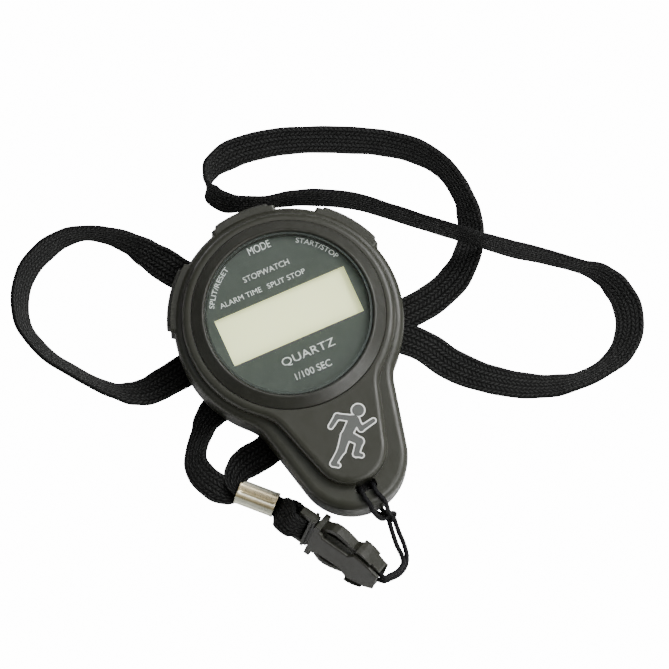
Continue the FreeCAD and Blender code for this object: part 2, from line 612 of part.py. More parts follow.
# free run: x, y on the table plane, lift above it, turn of the band about its own length in
# degrees, half width
STRAP_RUN = [
    (-16.4, -45.7, 0.9, 172, 3.0), (-19.5, -44.1, 0, 150, 4.3), (-23.2, -41.2, 0, 138, 4.5),
    (-25.2, -37.6, 0, 131, 4.5), (-24.9, -33.3, 0, 129, 4.5), (-23.3, -28.8, 0, 134, 4.5),
    (-21.7, -25.0, 0, 154, 4.5), (-19.2, -21.4, 0, 177, 4.5), (-15.8, -18.2, 0, 180, 4.5),
    (-11.0, -14.6, 0, 180, 4.5), (2.7, -8.4, 0, 180, 4.5), (16.4, -1.9, 0, 180, 4.5),
    (33.2, 5.8, 0, 180, 4.5), (38.9, 9.2, 0, 180, 4.5), (44.4, 14.1, 0, 172, 4.5),
    (47.9, 19.7, 0, 152, 4.5), (49.5, 26.4, 0, 142, 4.5), (48.9, 32.2, 0, 133, 4.5),
    (47.3, 37.4, 0, 118, 4.5), (42.2, 45.1, 0, 116, 4.5), (34.6, 50.0, 0, 123, 4.5),
    (25.2, 52.4, 0, 127, 4.5), (15.1, 53.2, 0, 128, 4.5), (6.0, 53.3, 0, 128, 4.5),
    (-4.9, 52.4, 0, 131, 4.5), (-15.6, 49.4, 0, 138, 4.5), (-21.2, 45.2, 0, 116, 4.5),
    (-22.3, 41.3, 0, 99, 4.5), (-21.0, 37.8, 0, 68, 4.5), (-17.5, 35.5, 0, 69, 4.5),
    (-12.3, 35.0, 0, 81, 4.5), (-6.4, 35.4, 0, 87, 4.5), (0.6, 36.5, 0, 81, 4.5),
    (7.0, 36.8, 0, 78, 4.5), (18.0, 35.7, 0, 78, 4.5), (28.2, 32.4, 0.6, 81, 4.5),
    (37.8, 28.4, 3.6, 82, 4.5), (49.3, 23.9, 6.9, 82, 4.5), (60.3, 21.3, 3.9, 79, 4.5),
    (69.9, 19.8, 0.8, 82, 4.5), (79.3, 17.3, 0, 84, 4.5), (85.3, 14.9, 0, 66, 4.5),
    (89.4, 11.0, 0, 45, 4.5), (92.0, 5.9, 0, 32, 4.5), (92.4, -0.3, 0, 31, 4.5),
    (90.0, -6.6, 0, 37, 4.5), (85.0, -11.3, 0, 50, 4.5), (78.9, -14.4, 0, 50, 4.5),
    (71.8, -15.8, 0, 36, 4.5), (63.0, -15.5, 0, 26, 4.5), (55.1, -13.8, 0, 17, 4.5),
    (48.8, -11.5, 0, 5, 4.5), (42.7, -8.4, 0.2, 0, 4.5), (38.4, -5.4, 0.9, 0, 4.5),
    (33.7, -3.1, 1.35, 0, 4.5), (16.4, 2.3, 1.35, 0, 4.5), (0.0, 7.1, 1.35, 0, 4.5),
    (-15.1, 11.4, 1.35, 0, 4.5), (-28.8, 15.4, 1.35, 0, 4.5), (-33.4, 18.2, 0.6, -8, 4.5),
    (-38.4, 21.1, 0, -41, 4.5), (-43.6, 24.0, 0, -65, 4.5), (-49.9, 26.1, 0, -78, 4.5),
    (-55.6, 26.7, 0, -82, 4.5), (-61.2, 25.3, 0, -73, 4.5), (-67.0, 21.3, 0, -63, 4.5),
    (-71.3, 15.7, 0, -60, 4.5), (-73.1, 8.5, 0, -62, 4.5), (-72.1, 0.9, 0, -62, 4.5),
    (-68.8, -4.0, 0, -61, 4.5), (-64.5, -8.3, 0, -61, 4.5), (-59.5, -11.4, 0, -61, 4.5),
    (-54.2, -14.5, 0, -60, 4.5), (-47.7, -17.3, 0, -54, 4.5), (-42.7, -18.0, 0, -37, 4.5),
    (-38.4, -17.1, 0, -18, 4.5), (-33.7, -14.4, 0.5, -5, 4.5), (-29.3, -11.9, 1.35, 0, 4.5),
    (-22.4, -7.8, 1.35, 0, 4.5), (-14.6, -5.7, 1.35, 0, 4.5), (-6.9, -7.7, 1.35, 0, 4.5),
    (-1.3, -13.3, 1.35, 0, 4.5), (0.8, -21.0, 1.35, 0, 4.5), (-1.3, -28.7, 1.35, 0, 4.5),
    (-6.8, -34.2, 1.35, 0, 4.5), (-9.9, -36.0, 1.2, 0, 4.5), (-12.3, -38.0, 1.9, 0, 4.3),
    (-14.0, -40.4, 2.9, 0, 3.7), (-14.7, -42.8, 3.5, 0, 2.8),
]
# second end held in the crimp, same columns as STRAP_HEAD
STRAP_FOOT = [(crimp_point(-5.65, 1.1), CRIMP_ACROSS, 1.8, 0.95),
              (crimp_point(3.0, 1.1), CRIMP_ACROSS, 1.7, 0.95)]


def catmull(p0, p1, p2, p3, t):
    """Centripetal Catmull-Rom between p1 and p2."""
    def knot_step(start, end):
        return max((end - start).Length, 1e-6) ** 0.5

    t1 = knot_step(p0, p1)
    t2 = t1 + knot_step(p1, p2)
    t3 = t2 + knot_step(p2, p3)
    u = t1 + (t2 - t1) * t
    a1 = p0 * ((t1 - u) / t1) + p1 * (u / t1)
    a2 = p1 * ((t2 - u) / (t2 - t1)) + p2 * ((u - t1) / (t2 - t1))
    a3 = p2 * ((t3 - u) / (t3 - t2)) + p3 * ((u - t2) / (t3 - t2))
    b1 = a1 * ((t2 - u) / t2) + a2 * (u / t2)
    b2 = a2 * ((t3 - u) / (t3 - t1)) + a3 * ((u - t1) / (t3 - t1))
    return b1 * ((t2 - u) / (t2 - t1)) + b2 * ((u - t1) / (t2 - t1))


def with_ghost_ends(points):
    """Add a point beyond each end, as far out as its neighbour is in."""
    return [points[0] * 2 - points[1]] + points + [points[-1] * 2 - points[-2]]


def strap_controls():
    centres = [STRAP_HEAD[-1][0]]
    for x, y, lift, roll, half_width in STRAP_RUN:
        angle = math.radians(roll)
        rise = half_width * abs(math.sin(angle)) + STRAP_T / 2 * abs(math.cos(angle))
        centres.append(Vector(x, y, TABLE_Z + rise + lift))
    centres.append(STRAP_FOOT[0][0])

    run = []
    for i, (x, y, lift, roll, half_width) in enumerate(STRAP_RUN):
        before, here, after = centres[i:i + 3]
        tangent = Vector(after.x - before.x, after.y - before.y, 0).normalize()
        angle = math.radians(roll)
        across = UP.cross(tangent) * math.cos(angle) + UP * math.sin(angle)
        run.append((here, across, half_width, STRAP_T))
    return STRAP_HEAD + run + STRAP_FOOT


def strap_sections():
    """Corner points of the strap's rectangular sections."""
    controls = strap_controls()
    path = with_ghost_ends([control[0] for control in controls])
    stations = []
    for i, (start, end) in enumerate(zip(controls, controls[1:])):
        length = (end[0] - start[0]).Length
        count = max(1, int(round(length / STRAP_STEP)))
        if length < 2.2:
            count = max(count, 2)
        for k in range(count):
            t = k / count
            blend = t * t * (3 - 2 * t)
            mixed = [a * (1 - blend) + b * blend for a, b in zip(start[1:], end[1:])]
            stations.append([catmull(*path[i:i + 4], t)] + mixed)
    stations.append(controls[-1])

    sections = []
    last = len(stations) - 1
    for i, (point, across, half_width, thickness) in enumerate(stations):
        tangent = (stations[min(i + 1, last)][0] - stations[max(i - 1, 0)][0]).normalize()
        across = (across - tangent * across.dot(tangent)).normalize()
        side = across * half_width
        face = tangent.cross(across).normalize() * (thickness / 2)
        sections.append([point + side + face, point - side + face,
                         point - side - face, point + side - face])
    return sections


def lanyard_strap():
    """Closed band of flat triangles, each quad split along its shorter diagonal."""
    sections = strap_sections()
    faces = []
    for ring, following in zip(sections, sections[1:]):
        for k in range(4):
            j = (k + 1) % 4
            a, b, c, d = ring[k], ring[j], following[j], following[k]
            if (a - c).Length <= (b - d).Length:
                faces += [polygon_face([a, b, c]), polygon_face([a, c, d])]
            else:
                faces += [polygon_face([a, b, d]), polygon_face([b, c, d])]
    faces += [polygon_face(sections[0]), polygon_face(sections[-1])]
    return sewn_solid(faces)


save("lanyard_strap", lay_to_case(lanyard_strap()))

# ---------------------------------------------------------------- thin cord from tail to buckle
CORD_R = 0.66
CORD_SIDES = 8
BEAD_ROWS, BEAD_SIDES = 6, 10
BEND_R = 1.46            # cord's centre line round the housing's post


def case_to_lay(x, y, z):
    """Point given in the case's axes, in the strap's axes."""
    angle = math.radians(LAY)
    return Vector(x * math.cos(angle) - y * math.sin(angle),
                  x * math.sin(angle) + y * math.cos(angle), z)


KNOT = case_to_lay(3.75, -59.1, 2.0)


def smooth(points, step):
    """Even samples on a smooth curve through the points."""
    path = with_ghost_ends(points)
    samples = []
    for i in range(len(points) - 1):
        count = max(1, int(round((points[i + 1] - points[i]).Length / step)))
        samples += [catmull(*path[i:i + 4], k / count) for k in range(count)]
    return samples + [points[-1]]


def tube(points):
    """Mitred many-sided tube along a polyline, closed by flat ends."""
    steps = [(b - a).normalize() for a, b in zip(points, points[1:])]
    side = steps[0].cross(UP if abs(steps[0].z) < 0.9 else X_DIR).normalize()
    other = steps[0].cross(side)
    ring = []
    for k in range(CORD_SIDES):
        angle = 2 * math.pi * k / CORD_SIDES
        ring.append(points[0] + side * (CORD_R * math.cos(angle))
                    + other * (CORD_R * math.sin(angle)))
    rings = [ring]
    for i in range(1, len(points)):
        step = steps[i - 1]
        normal = (step + steps[i]).normalize() if i < len(steps) else steps[-1]
        ring = [q + step * ((points[i] - q).dot(normal) / step.dot(normal)) for q in ring]
        rings.append(ring)
    faces = [polygon_face(rings[0][::-1]), polygon_face(rings[-1])]
    for a, b in zip(rings, rings[1:]):
        for k in range(CORD_SIDES):
            j = (k + 1) % CORD_SIDES
            faces.append(polygon_face([a[k], a[j], b[j], b[k]]))
    return sewn_solid(faces)


def bead(centre, radius):
    """Faceted ball; every other row is turned by half a facet."""
    rows = []
    for i in range(1, BEAD_ROWS):
        polar_angle = math.pi * i / BEAD_ROWS
        row_r, z = radius * math.sin(polar_angle), radius * math.cos(polar_angle)
        turns = [2 * math.pi * (k + 0.5 * (i % 2)) / BEAD_SIDES for k in range(BEAD_SIDES)]
        rows.append([centre + Vector(row_r * math.cos(a), row_r * math.sin(a), z)
                     for a in turns])
    top, bottom = centre + Vector(0, 0, radius), centre - Vector(0, 0, radius)
    triangles = []
    for k in range(BEAD_SIDES):
        j = (k + 1) % BEAD_SIDES
        triangles += [[top, rows[0][k], rows[0][j]], [bottom, rows[-1][j], rows[-1][k]]]
        for i, (a, b) in enumerate(zip(rows, rows[1:])):
            if i % 2 == 0:
                triangles += [[a[k], b[k], a[j]], [a[j], b[k], b[j]]]
            else:
                triangles += [[a[k], b[k], b[j]], [a[k], b[j], a[j]]]
    return sewn_solid([polygon_face(triangle) for triangle in triangles])


def post_loop():
    """Loop from the knot to the post in the housing's tip, round it, and back."""
    bend = []
    for degrees in (285, 264, 237, 210, 183, 156, 129, 102, 75):
        angle = math.radians(degrees)
        bend.append(buckle_point(POST_ALONG + BEND_R * math.cos(angle),
                                 BEND_R * math.sin(angle), 0))
    out = [KNOT + Vector(0.75, 0.0, -0.1), Vector(29.6, -56.1, -0.3),
           Vector(31.2, -59.7, -1.8), Vector(31.9, -62.8, -2.05), Vector(31.6, -65.3, -1.6),
           Vector(30.0, -68.1, 0.1), Vector(27.4, -70.0, 2.1), buckle_point(24.4, -1.05, -0.3)]
    home = [buckle_point(24.4, 1.05, 0.3), Vector(27.3, -69.55, 4.1),
            Vector(29.55, -67.7, 1.9), Vector(30.95, -64.95, -0.3), Vector(30.5, -62.5, -1.75),
            Vector(29.2, -59.7, -2.0), Vector(27.9, -56.1, -0.7),
            KNOT + Vector(-0.75, 0.0, -0.3)]
    return out + bend + home


def slot_loop(slot_x, rim_x, low_x, knot_shift, sag):
    """Loop from the knot over the rim of the tail, down the slot and back under the rim."""
    return [KNOT + Vector(0.15 - knot_shift, 0, 0.8),
            case_to_lay((rim_x + 3.75) / 2, -58.7 - sag, 4.6 - sag),
            case_to_lay(rim_x, -57.85, 10.4),
            case_to_lay((2 * rim_x + slot_x) / 3, -56.35, 13.2),
            case_to_lay(slot_x, -54.2, 13.8),
            case_to_lay(slot_x, -51.95, 13.5),
            case_to_lay(slot_x, -51.2, 11.6),
            case_to_lay(slot_x, -51.2, 6.0),
            case_to_lay(slot_x, -51.25, 1.0),
            case_to_lay(slot_x, -51.95, -0.9),
            case_to_lay((slot_x + low_x) / 2, -54.0, -1.1),
            case_to_lay(low_x, -56.6, -0.95),
            KNOT + Vector(-0.2 + knot_shift, 0.5, -0.75)]


def lanyard_cord():
    right_loop = slot_loop(slot_x=1.8, rim_x=3.1, low_x=2.9, knot_shift=0.0, sag=0.0)
    left_loop = slot_loop(slot_x=-1.7, rim_x=-0.9, low_x=1.4, knot_shift=0.5, sag=0.8)
    strands = [tube(smooth(post_loop(), 1.3)), tube(smooth(right_loop, 1.5)),
               tube(smooth(left_loop, 1.5))]
    side_beads = [bead(KNOT + Vector(0.55, 0.6, 0.62), 1.25),
                  bead(KNOT + Vector(-0.45, -0.7, -0.5), 1.25)]
    return bead(KNOT, 1.6).fuse(side_beads + strands)


save("lanyard_cord", lay_to_case(lanyard_cord()))
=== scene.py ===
"""A hand-held stopwatch with a braided neck strap, lying on a pale floor.

The case is centred near the origin with its dial facing +Z, the MODE button at +Y and the tail
towards -Y. The strap, cord, crimp, lights and camera are placed in "lay" axes: a point of the
case turned by LAY_ANGLE about +Z gives its lay coordinates. Lengths are millimetres unless said.
"""
import math

import bpy
import bmesh
import numpy as np
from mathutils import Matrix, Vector


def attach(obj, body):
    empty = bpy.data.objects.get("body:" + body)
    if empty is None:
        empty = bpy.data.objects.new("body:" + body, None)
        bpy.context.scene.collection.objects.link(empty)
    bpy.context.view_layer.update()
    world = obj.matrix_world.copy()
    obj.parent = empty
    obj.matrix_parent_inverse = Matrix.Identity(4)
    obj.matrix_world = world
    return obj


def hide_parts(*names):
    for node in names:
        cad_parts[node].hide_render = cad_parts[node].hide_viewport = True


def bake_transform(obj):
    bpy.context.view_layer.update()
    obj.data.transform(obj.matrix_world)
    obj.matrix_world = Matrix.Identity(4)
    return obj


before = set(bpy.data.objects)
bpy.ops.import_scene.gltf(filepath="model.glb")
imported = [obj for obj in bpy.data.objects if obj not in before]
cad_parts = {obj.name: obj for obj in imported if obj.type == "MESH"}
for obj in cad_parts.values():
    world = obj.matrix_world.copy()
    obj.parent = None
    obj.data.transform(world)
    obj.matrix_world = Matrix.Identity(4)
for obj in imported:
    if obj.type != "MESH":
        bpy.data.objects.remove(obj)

MM = 0.001                          # metres in a millimetre
LAY_ANGLE = math.radians(24.0)
TABLE_Z = -2.8
DIAL_Z = 15.35                      # printed face of the dial
DECK_Z = 16.0                       # top face of the tail
UP = np.array([0, 0, 1.0])


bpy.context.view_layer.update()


# ---------------------------------------------------------------- vectors and meshes
def lay_to_case(points):
    points = np.asarray(points, float)
    c, s = math.cos(-LAY_ANGLE), math.sin(-LAY_ANGLE)
    turned = points.copy()
    turned[..., 0] = points[..., 0] * c - points[..., 1] * s
    turned[..., 1] = points[..., 0] * s + points[..., 1] * c
    return turned


def case_to_lay(x, y, z):
    c, s = math.cos(LAY_ANGLE), math.sin(LAY_ANGLE)
    return np.array([x * c - y * s, x * s + y * c, z])


def unit(vector):
    vector = np.asarray(vector, float)
    return vector / np.linalg.norm(vector)


def across(direction):
    """Horizontal direction a quarter turn to the left of a given one."""
    return np.array([-direction[1], direction[0], 0])


def lengths_along(path):
    return np.concatenate([[0], np.cumsum(np.linalg.norm(np.diff(path, axis=0), axis=1))])


def link_object(name, mesh):
    obj = bpy.data.objects.new(name, mesh)
    bpy.context.scene.collection.objects.link(obj)
    return obj


def new_mesh(name, points, faces, uvs=None, smooth=True):
    """Closed mesh from points in case axes, with its normals turned outwards."""
    mesh = bpy.data.meshes.new(name)
    mesh.from_pydata((np.asarray(points, float) * MM).tolist(), [], faces)
    mesh.validate()
    if uvs is not None:
        layer = mesh.uv_layers.new(name="UVMap")
        corners = np.zeros(len(mesh.loops), np.int32)
        mesh.loops.foreach_get("vertex_index", corners)
        layer.data.foreach_set("uv", np.asarray(uvs, np.float32)[corners].ravel())
    if smooth:
        mesh.polygons.foreach_set("use_smooth", [True] * len(mesh.polygons))
    mesh.update()
    obj = link_object(name, mesh)
    bm = bmesh.new()
    bm.from_mesh(mesh)
    bmesh.ops.recalc_face_normals(bm, faces=bm.faces)
    bm.to_mesh(mesh)
    bm.free()
    return obj


def tube_faces(rings, sides, closed=False):
    """Quads round a run of point rings; an open run gets a cap at each end."""
    index = np.arange(rings * sides).reshape(rings, sides)
    near, far = (index, np.roll(index, -1, 0)) if closed else (index[:-1], index[1:])
    faces = []
    for j in range(sides):
        k = (j + 1) % sides
        faces += np.stack([near[:, j], near[:, k], far[:, k], far[:, j]], -1).tolist()
    if not closed:
        faces += [index[0][::-1].tolist(), index[-1].tolist()]
    return faces


# ---------------------------------------------------------------- material kit
class Material:
    """A Principled material with short ways to add procedural nodes."""

    def __init__(self, name, base, rough, metallic=0.0, specular=0.5, coat=0.0, coat_rough=0.1):
        self.data = bpy.data.materials.new(name)
        self.data.use_nodes = True
        self.tree = self.data.node_tree
        self.bsdf = self.tree.nodes["Principled BSDF"]
        self.set("Base Color", (*base, 1))
        self.set("Roughness", rough)
        self.set("Metallic", metallic)
        self.set("Specular IOR Level", specular)
        self.set("Coat Weight", coat)
        self.set("Coat Roughness", coat_rough)
        self.coordinates = None
        self.normal = None

    def set(self, name, value):
        self.bsdf.inputs[name].default_value = value

    def node(self, kind, **settings):
        node = self.tree.nodes.new(kind)
        for key, value in settings.items():
            setattr(node, key, value)
        return node

    def link(self, source, target):
        self.tree.links.new(source, target)

    def feed(self, value, target):
        """Set an input to a number, or link an output to it."""
        if isinstance(value, (int, float)):
            target.default_value = value
        else:
            self.link(value, target)

    def drive(self, name, source):
        self.link(source, self.bsdf.inputs[name])

    def show(self, shader):
        self.link(shader, self.tree.nodes["Material Output"].inputs["Surface"])

    def coord(self, which="Object"):
        if self.coordinates is None:
            self.coordinates = self.node("ShaderNodeTexCoord")
        return self.coordinates.outputs[which]

    def math(self, operation, *values):
        node = self.node("ShaderNodeMath", operation=operation)
        for i, value in enumerate(values):
            self.feed(value, node.inputs[i])
        return node.outputs[0]

    def weighted(self, first, first_weight, second, second_weight):
        return self.math("ADD", self.math("MULTIPLY", first, first_weight),
                         self.math("MULTIPLY", second, second_weight))

    def noise(self, size, detail=2.0, rough=0.5, stretch=None):
        """Noise whose features are about size mm across."""
        source = self.coord()
        if stretch:
            mapping = self.node("ShaderNodeMapping")
            mapping.inputs["Scale"].default_value = stretch
            self.link(source, mapping.inputs["Vector"])
            source = mapping.outputs[0]
        node = self.node("ShaderNodeTexNoise")
        node.inputs["Scale"].default_value = 1.0 / (size * MM)
        node.inputs["Detail"].default_value = detail
        node.inputs["Roughness"].default_value = rough
        self.link(source, node.inputs["Vector"])
        return node.outputs["Fac"]

    def ramp(self, factor, stops):
        """Colour ramp; each stop is (position, colour)."""
        node = self.node("ShaderNodeValToRGB")
        elements = node.color_ramp.elements
        while len(elements) < len(stops):
            elements.new(0.5)
        for element, (position, colour) in zip(elements, stops):
            element.position = position
            element.color = (*colour, 1)
        self.link(factor, node.inputs[0])
        return node.outputs["Color"]

    def remap(self, value, low, high, from_low=0.0, from_high=1.0):
        node = self.node("ShaderNodeMapRange")
        node.inputs["From Min"].default_value = from_low
        node.inputs["From Max"].default_value = from_high
        node.inputs["To Min"].default_value = low
        node.inputs["To Max"].default_value = high
        self.link(value, node.inputs["Value"])
        return node.outputs[0]

    def mix_shader(self, factor, first, second):
        node = self.node("ShaderNodeMixShader")
        self.feed(factor, node.inputs[0])
        self.link(first, node.inputs[1])
        self.link(second, node.inputs[2])
        return node.outputs[0]

    def bump(self, height, depth):
        """Bump depth mm high, laid over any earlier bump or rounded edge."""
        node = self.node("ShaderNodeBump")
        node.inputs["Distance"].default_value = depth * MM
        self.link(height, node.inputs["Height"])
        if self.normal is not None:
            self.link(self.normal, node.inputs["Normal"])
        self.normal = node.outputs[0]
        self.drive("Normal", self.normal)

    def round_edges(self, radius):
        node = self.node("ShaderNodeBevel", samples=6)
        node.inputs["Radius"].default_value = radius * MM
        self.normal = node.outputs[0]
        self.drive("Normal", self.normal)


def scaled(colour, factor):
    return tuple(c * factor for c in colour)


# ---------------------------------------------------------------- materials of the case
def moulded(name, base, rough, grain_size, grain_depth, edge, mottle):
    """Moulded plastic: rounded edges, fine grain, uneven gloss, faint scuffs."""
    mat = Material(name, base, rough)
    mat.round_edges(edge)
    grain = mat.noise(grain_size, detail=3.0, rough=0.6)
    mat.bump(grain, grain_depth)
    patches = mat.noise(9.0, detail=3.0, rough=0.6)
    tone = mat.weighted(patches, 0.7, grain, 0.3)
    stops = [(0.3, scaled(base, 1 - mottle)), (0.7, scaled(base, 1 + mottle))]
    mat.drive("Base Color", mat.ramp(tone, stops))
    scuffs = mat.noise(1.6, detail=6.0, rough=0.7, stretch=(1.0, 0.25, 1.0))
    scuff_gloss = mat.remap(scuffs, rough - 0.07, rough + 0.09, from_low=0.3, from_high=0.7)
    mat.drive("Roughness", mat.math("ADD", scuff_gloss, mat.remap(grain, -0.03, 0.03)))
    return mat


def dial_print():
    mat = Material("dial_print_grey_green", (0.045, 0.062, 0.054), rough=0.5)
    speckle = mat.noise(0.12)
    patches = mat.noise(14.0)
    tone = mat.weighted(patches, 0.6, speckle, 0.4)
    stops = [(0.35, (0.052, 0.063, 0.051)), (0.65, (0.060, 0.071, 0.059))]
    mat.drive("Base Color", mat.ramp(tone, stops))
    mat.bump(speckle, depth=0.004)
    return mat


def display_cell_painted_glow():
    mat = Material("display_cell_painted_glow", (0.70, 0.71, 0.56), rough=0.35, coat=0.35, coat_rough=0.12)
    # painted glow: the display cell gives off light through emission, though a real one only
    # reflects
    mat.set("Emission Color", (0.95, 0.97, 0.50, 1))
    mat.set("Emission Strength", 0.84)
    speckle = mat.noise(0.10, detail=1.0)
    patches = mat.noise(18.0)
    tone = mat.weighted(patches, 0.75, speckle, 0.25)
    stops = [(0.3, (0.91, 0.93, 0.52)), (0.7, (0.97, 0.98, 0.60))]
    mat.drive("Base Color", mat.ramp(tone, stops))
    mat.bump(speckle, depth=0.003)
    mat.drive("Roughness", mat.remap(speckle, 0.32, 0.42))
    return mat


def clear_sheet(name, tint, rough, edge_colour, edge_rough, edge_share, level):
    """Clear polished sheet with Fresnel reflections.

    Faces whose normal has |z| under level take an edge_share of the milky edge colour.
    """
    mat = Material(name, edge_colour, edge_rough)
    geometry = mat.node("ShaderNodeNewGeometry")
    normal = mat.node("ShaderNodeSeparateXYZ")
    mat.link(geometry.outputs["True Normal"], normal.inputs[0])
    flat = mat.math("GREATER_THAN", mat.math("ABSOLUTE", normal.outputs[2]), level)
    through = mat.node("ShaderNodeBsdfTransparent")
    tint_stops = [(0.3, scaled(tint, 0.985)), (0.7, tint)]
    mat.link(mat.ramp(mat.noise(8.0), tint_stops), through.inputs["Color"])
    gloss = mat.node("ShaderNodeBsdfGlossy")
    smears = mat.noise(2.5, detail=5.0, rough=0.7, stretch=(1.0, 0.2, 1.0))
    smear_gloss = mat.remap(smears, rough * 0.6, rough * 2.2, from_low=0.35, from_high=0.75)
    mat.link(smear_gloss, gloss.inputs["Roughness"])
    fresnel = mat.node("ShaderNodeFresnel")
    fresnel.inputs["IOR"].default_value = 1.49
    rays = mat.node("ShaderNodeLightPath")
    face = mat.mix_shader(fresnel.outputs[0], through.outputs[0], gloss.outputs[0])
    edge = mat.mix_shader(edge_share, face, mat.bsdf.outputs[0])
    sheet = mat.mix_shader(flat, edge, face)
    # shadow rays pass straight through, so light reaches the dial
    mat.show(mat.mix_shader(rays.outputs["Is Shadow Ray"], sheet, through.outputs[0]))
    return mat


def scratched_metal(name, base, rough, metallic=1.0, scratch=0.01):
    """Metal with rounded edges, scratches and uneven gloss; also returns its patch noise."""
    mat = Material(name, base, rough, metallic=metallic)
    mat.round_edges(0.12)
    scratches = mat.noise(0.25, detail=4.0, rough=0.6, stretch=(1.0, 1.0, 1.0))
    mat.bump(scratches, scratch)
    patches = mat.noise(3.0, detail=3.0)
    tone = mat.weighted(scratches, 0.5, patches, 0.5)
    gloss = mat.remap(tone, rough - 0.08, rough + 0.12, from_low=0.3, from_high=0.7)
    mat.drive("Roughness", gloss)
    return mat, patches


def metal(name, base, rough, scratch=0.01):
    mat, patches = scratched_metal(name, base, rough, scratch=scratch)
    mat.drive("Base Color", mat.ramp(patches, [(0.3, scaled(base, 0.86)), (0.7, base)]))
    return mat


def board_mask():
    mat = Material("board_solder_mask", (0.02, 0.12, 0.045), rough=0.35)
    cells = mat.node("ShaderNodeTexVoronoi", feature="DISTANCE_TO_EDGE")
    cells.inputs["Scale"].default_value = 1.0 / (2.4 * MM)
    mat.link(mat.coord(), cells.inputs["Vector"])
    stops = [(0.05, (0.05, 0.20, 0.07)), (0.12, (0.02, 0.11, 0.04))]
    mat.drive("Base Color", mat.ramp(cells.outputs["Distance"], stops))
    mat.bump(cells.outputs["Distance"], depth=0.03)
    return mat


def striped_rubber():
    mat = Material("striped_rubber", (0.5, 0.3, 0.35), rough=0.6)
    bands = mat.node("ShaderNodeTexWave", wave_type="BANDS", bands_direction="X")
    bands.inputs["Scale"].default_value = 900.0
    mat.link(mat.coord(), bands.inputs["Vector"])
    stops = [(0.45, (0.03, 0.03, 0.03)), (0.55, (0.62, 0.42, 0.45))]
    mat.drive("Base Color", mat.ramp(bands.outputs["Fac"], stops))
    mat.bump(bands.outputs["Fac"], depth=0.01)
    return mat


def assign(mat, *names):
    """Put a material in every slot of the named CAD pieces."""
    for name in names:
        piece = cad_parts[name]
        if not piece.material_slots:
            piece.data.materials.append(mat.data)
        for slot in piece.material_slots:
            slot.material = mat.data


assign(moulded("case_shell_plastic", (0.0220, 0.0232, 0.0150), rough=0.42,
               grain_size=0.35, grain_depth=0.012, edge=0.22, mottle=0.07),
       "front_shell", "back_shell")
assign(moulded("bezel_sparked_plastic", (0.0200, 0.0208, 0.0150), rough=0.38,
               grain_size=0.28, grain_depth=0.045, edge=0.12, mottle=0.18),
       "bezel_ring")
assign(moulded("button_plastic", (0.030, 0.031, 0.0235), rough=0.38,
               grain_size=0.3, grain_depth=0.012, edge=0.15, mottle=0.08),
       "mode_button", "start_stop_button", "split_reset_button")
assign(moulded("buckle_plastic", (0.022, 0.0225, 0.0165), rough=0.36,
               grain_size=0.5, grain_depth=0.012, edge=0.28, mottle=0.12),
       "buckle_housing", "buckle_male_half", "buckle_arm_upper", "buckle_arm_lower")
assign(dial_print(), "dial_plate")
assign(display_cell_painted_glow(), "lcd_front_glass", "lcd_rear_glass", "lcd_reflector")
assign(clear_sheet("lens_acrylic", tint=(0.97, 0.985, 0.98), rough=0.03,
                   edge_colour=(0.10, 0.12, 0.11), edge_rough=0.18, edge_share=0.40, level=0.97),
       "lens")
assign(moulded("display_frame_plastic", (0.55, 0.55, 0.50), rough=0.5,
               grain_size=0.3, grain_depth=0.01, edge=0.15, mottle=0.05),
       "lcd_frame")
assign(striped_rubber(), "zebra_strip_upper", "zebra_strip_lower")
assign(board_mask(), "circuit_board")
assign(moulded("potting_black", (0.012, 0.012, 0.012), rough=0.25,
               grain_size=1.2, grain_depth=0.05, edge=0.2, mottle=0.2),
       "chip_encapsulation", "chip_components")
assign(metal("screw_zinc", (0.55, 0.55, 0.56), rough=0.32), "board_screws", "case_screws")
assign(metal("crystal_can", (0.75, 0.75, 0.77), rough=0.25), "quartz_crystal")
assign(metal("cell_plating", (0.72, 0.72, 0.72), rough=0.22, scratch=0.005), "battery")
spring_plating = metal("spring_plating", (0.62, 0.58, 0.48), rough=0.3)
assign(spring_plating, "battery_clip_positive", "battery_spring_negative", "buzzer_spring",
       "mode_contact_leaf", "start_stop_contact_leaf", "split_reset_contact_leaf")
assign(metal("buzzer_brass", (0.72, 0.52, 0.22), rough=0.3), "buzzer_disc")

# ---------------------------------------------------------------- contact leaves
LEAF_TURNS = {"mode": 0.0, "start_stop": -55.0, "split_reset": 55.0}  # degrees from +Y about +Z
LEAF_HALF_WIDTH = 1.5
LEAF_FOOT_Y = 22.4                  # free edge of the short flat foot
LEAF_INNER_Y, LEAF_OUTER_Y = 24.0, 24.2
LEAF_UNDER_Z, LEAF_TOP_Z = 8.95, 9.15
LEAF_DROP = (8.86, 8.77, 8.68, 8.59, 8.5, 8.41, 8.32, 8.2, 7.6, 7.0, 6.3)  # z down the blade


def contact_leaf(button, turn):
    """Angled spring blade: a foot reaching outwards, then a blade hanging down."""
    c, s = math.cos(math.radians(turn)), math.sin(math.radians(turn))
    # (y, z) of the two surfaces at each station
    stations = [((LEAF_FOOT_Y, LEAF_UNDER_Z), (LEAF_FOOT_Y, LEAF_TOP_Z)),
                ((LEAF_INNER_Y, LEAF_UNDER_Z), (LEAF_OUTER_Y, LEAF_TOP_Z))]
    stations += [((LEAF_INNER_Y, z), (LEAF_OUTER_Y, z)) for z in LEAF_DROP]
    points = [(x * c - y * s, x * s + y * c, z)
              for station in stations for y, z in station
              for x in (-LEAF_HALF_WIDTH, LEAF_HALF_WIDTH)]
    faces = []
    for i in range(len(stations) - 1):
        a, b = 4 * i, 4 * i + 4
        faces += [(a, b, b + 1, a + 1), (a + 2, a + 3, b + 3, b + 2),
                  (a, a + 2, b + 2, b), (a + 1, b + 1, b + 3, a + 3)]
    end = 4 * (len(stations) - 1)
    faces += [(0, 1, 3, 2), (end, end + 2, end + 3, end + 1)]
    blade = new_mesh(button + "_bending_leaf", points, faces, smooth=False)
    blade.data.materials.append(spring_plating.data)
    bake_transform(blade)
    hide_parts(button + "_contact_leaf")


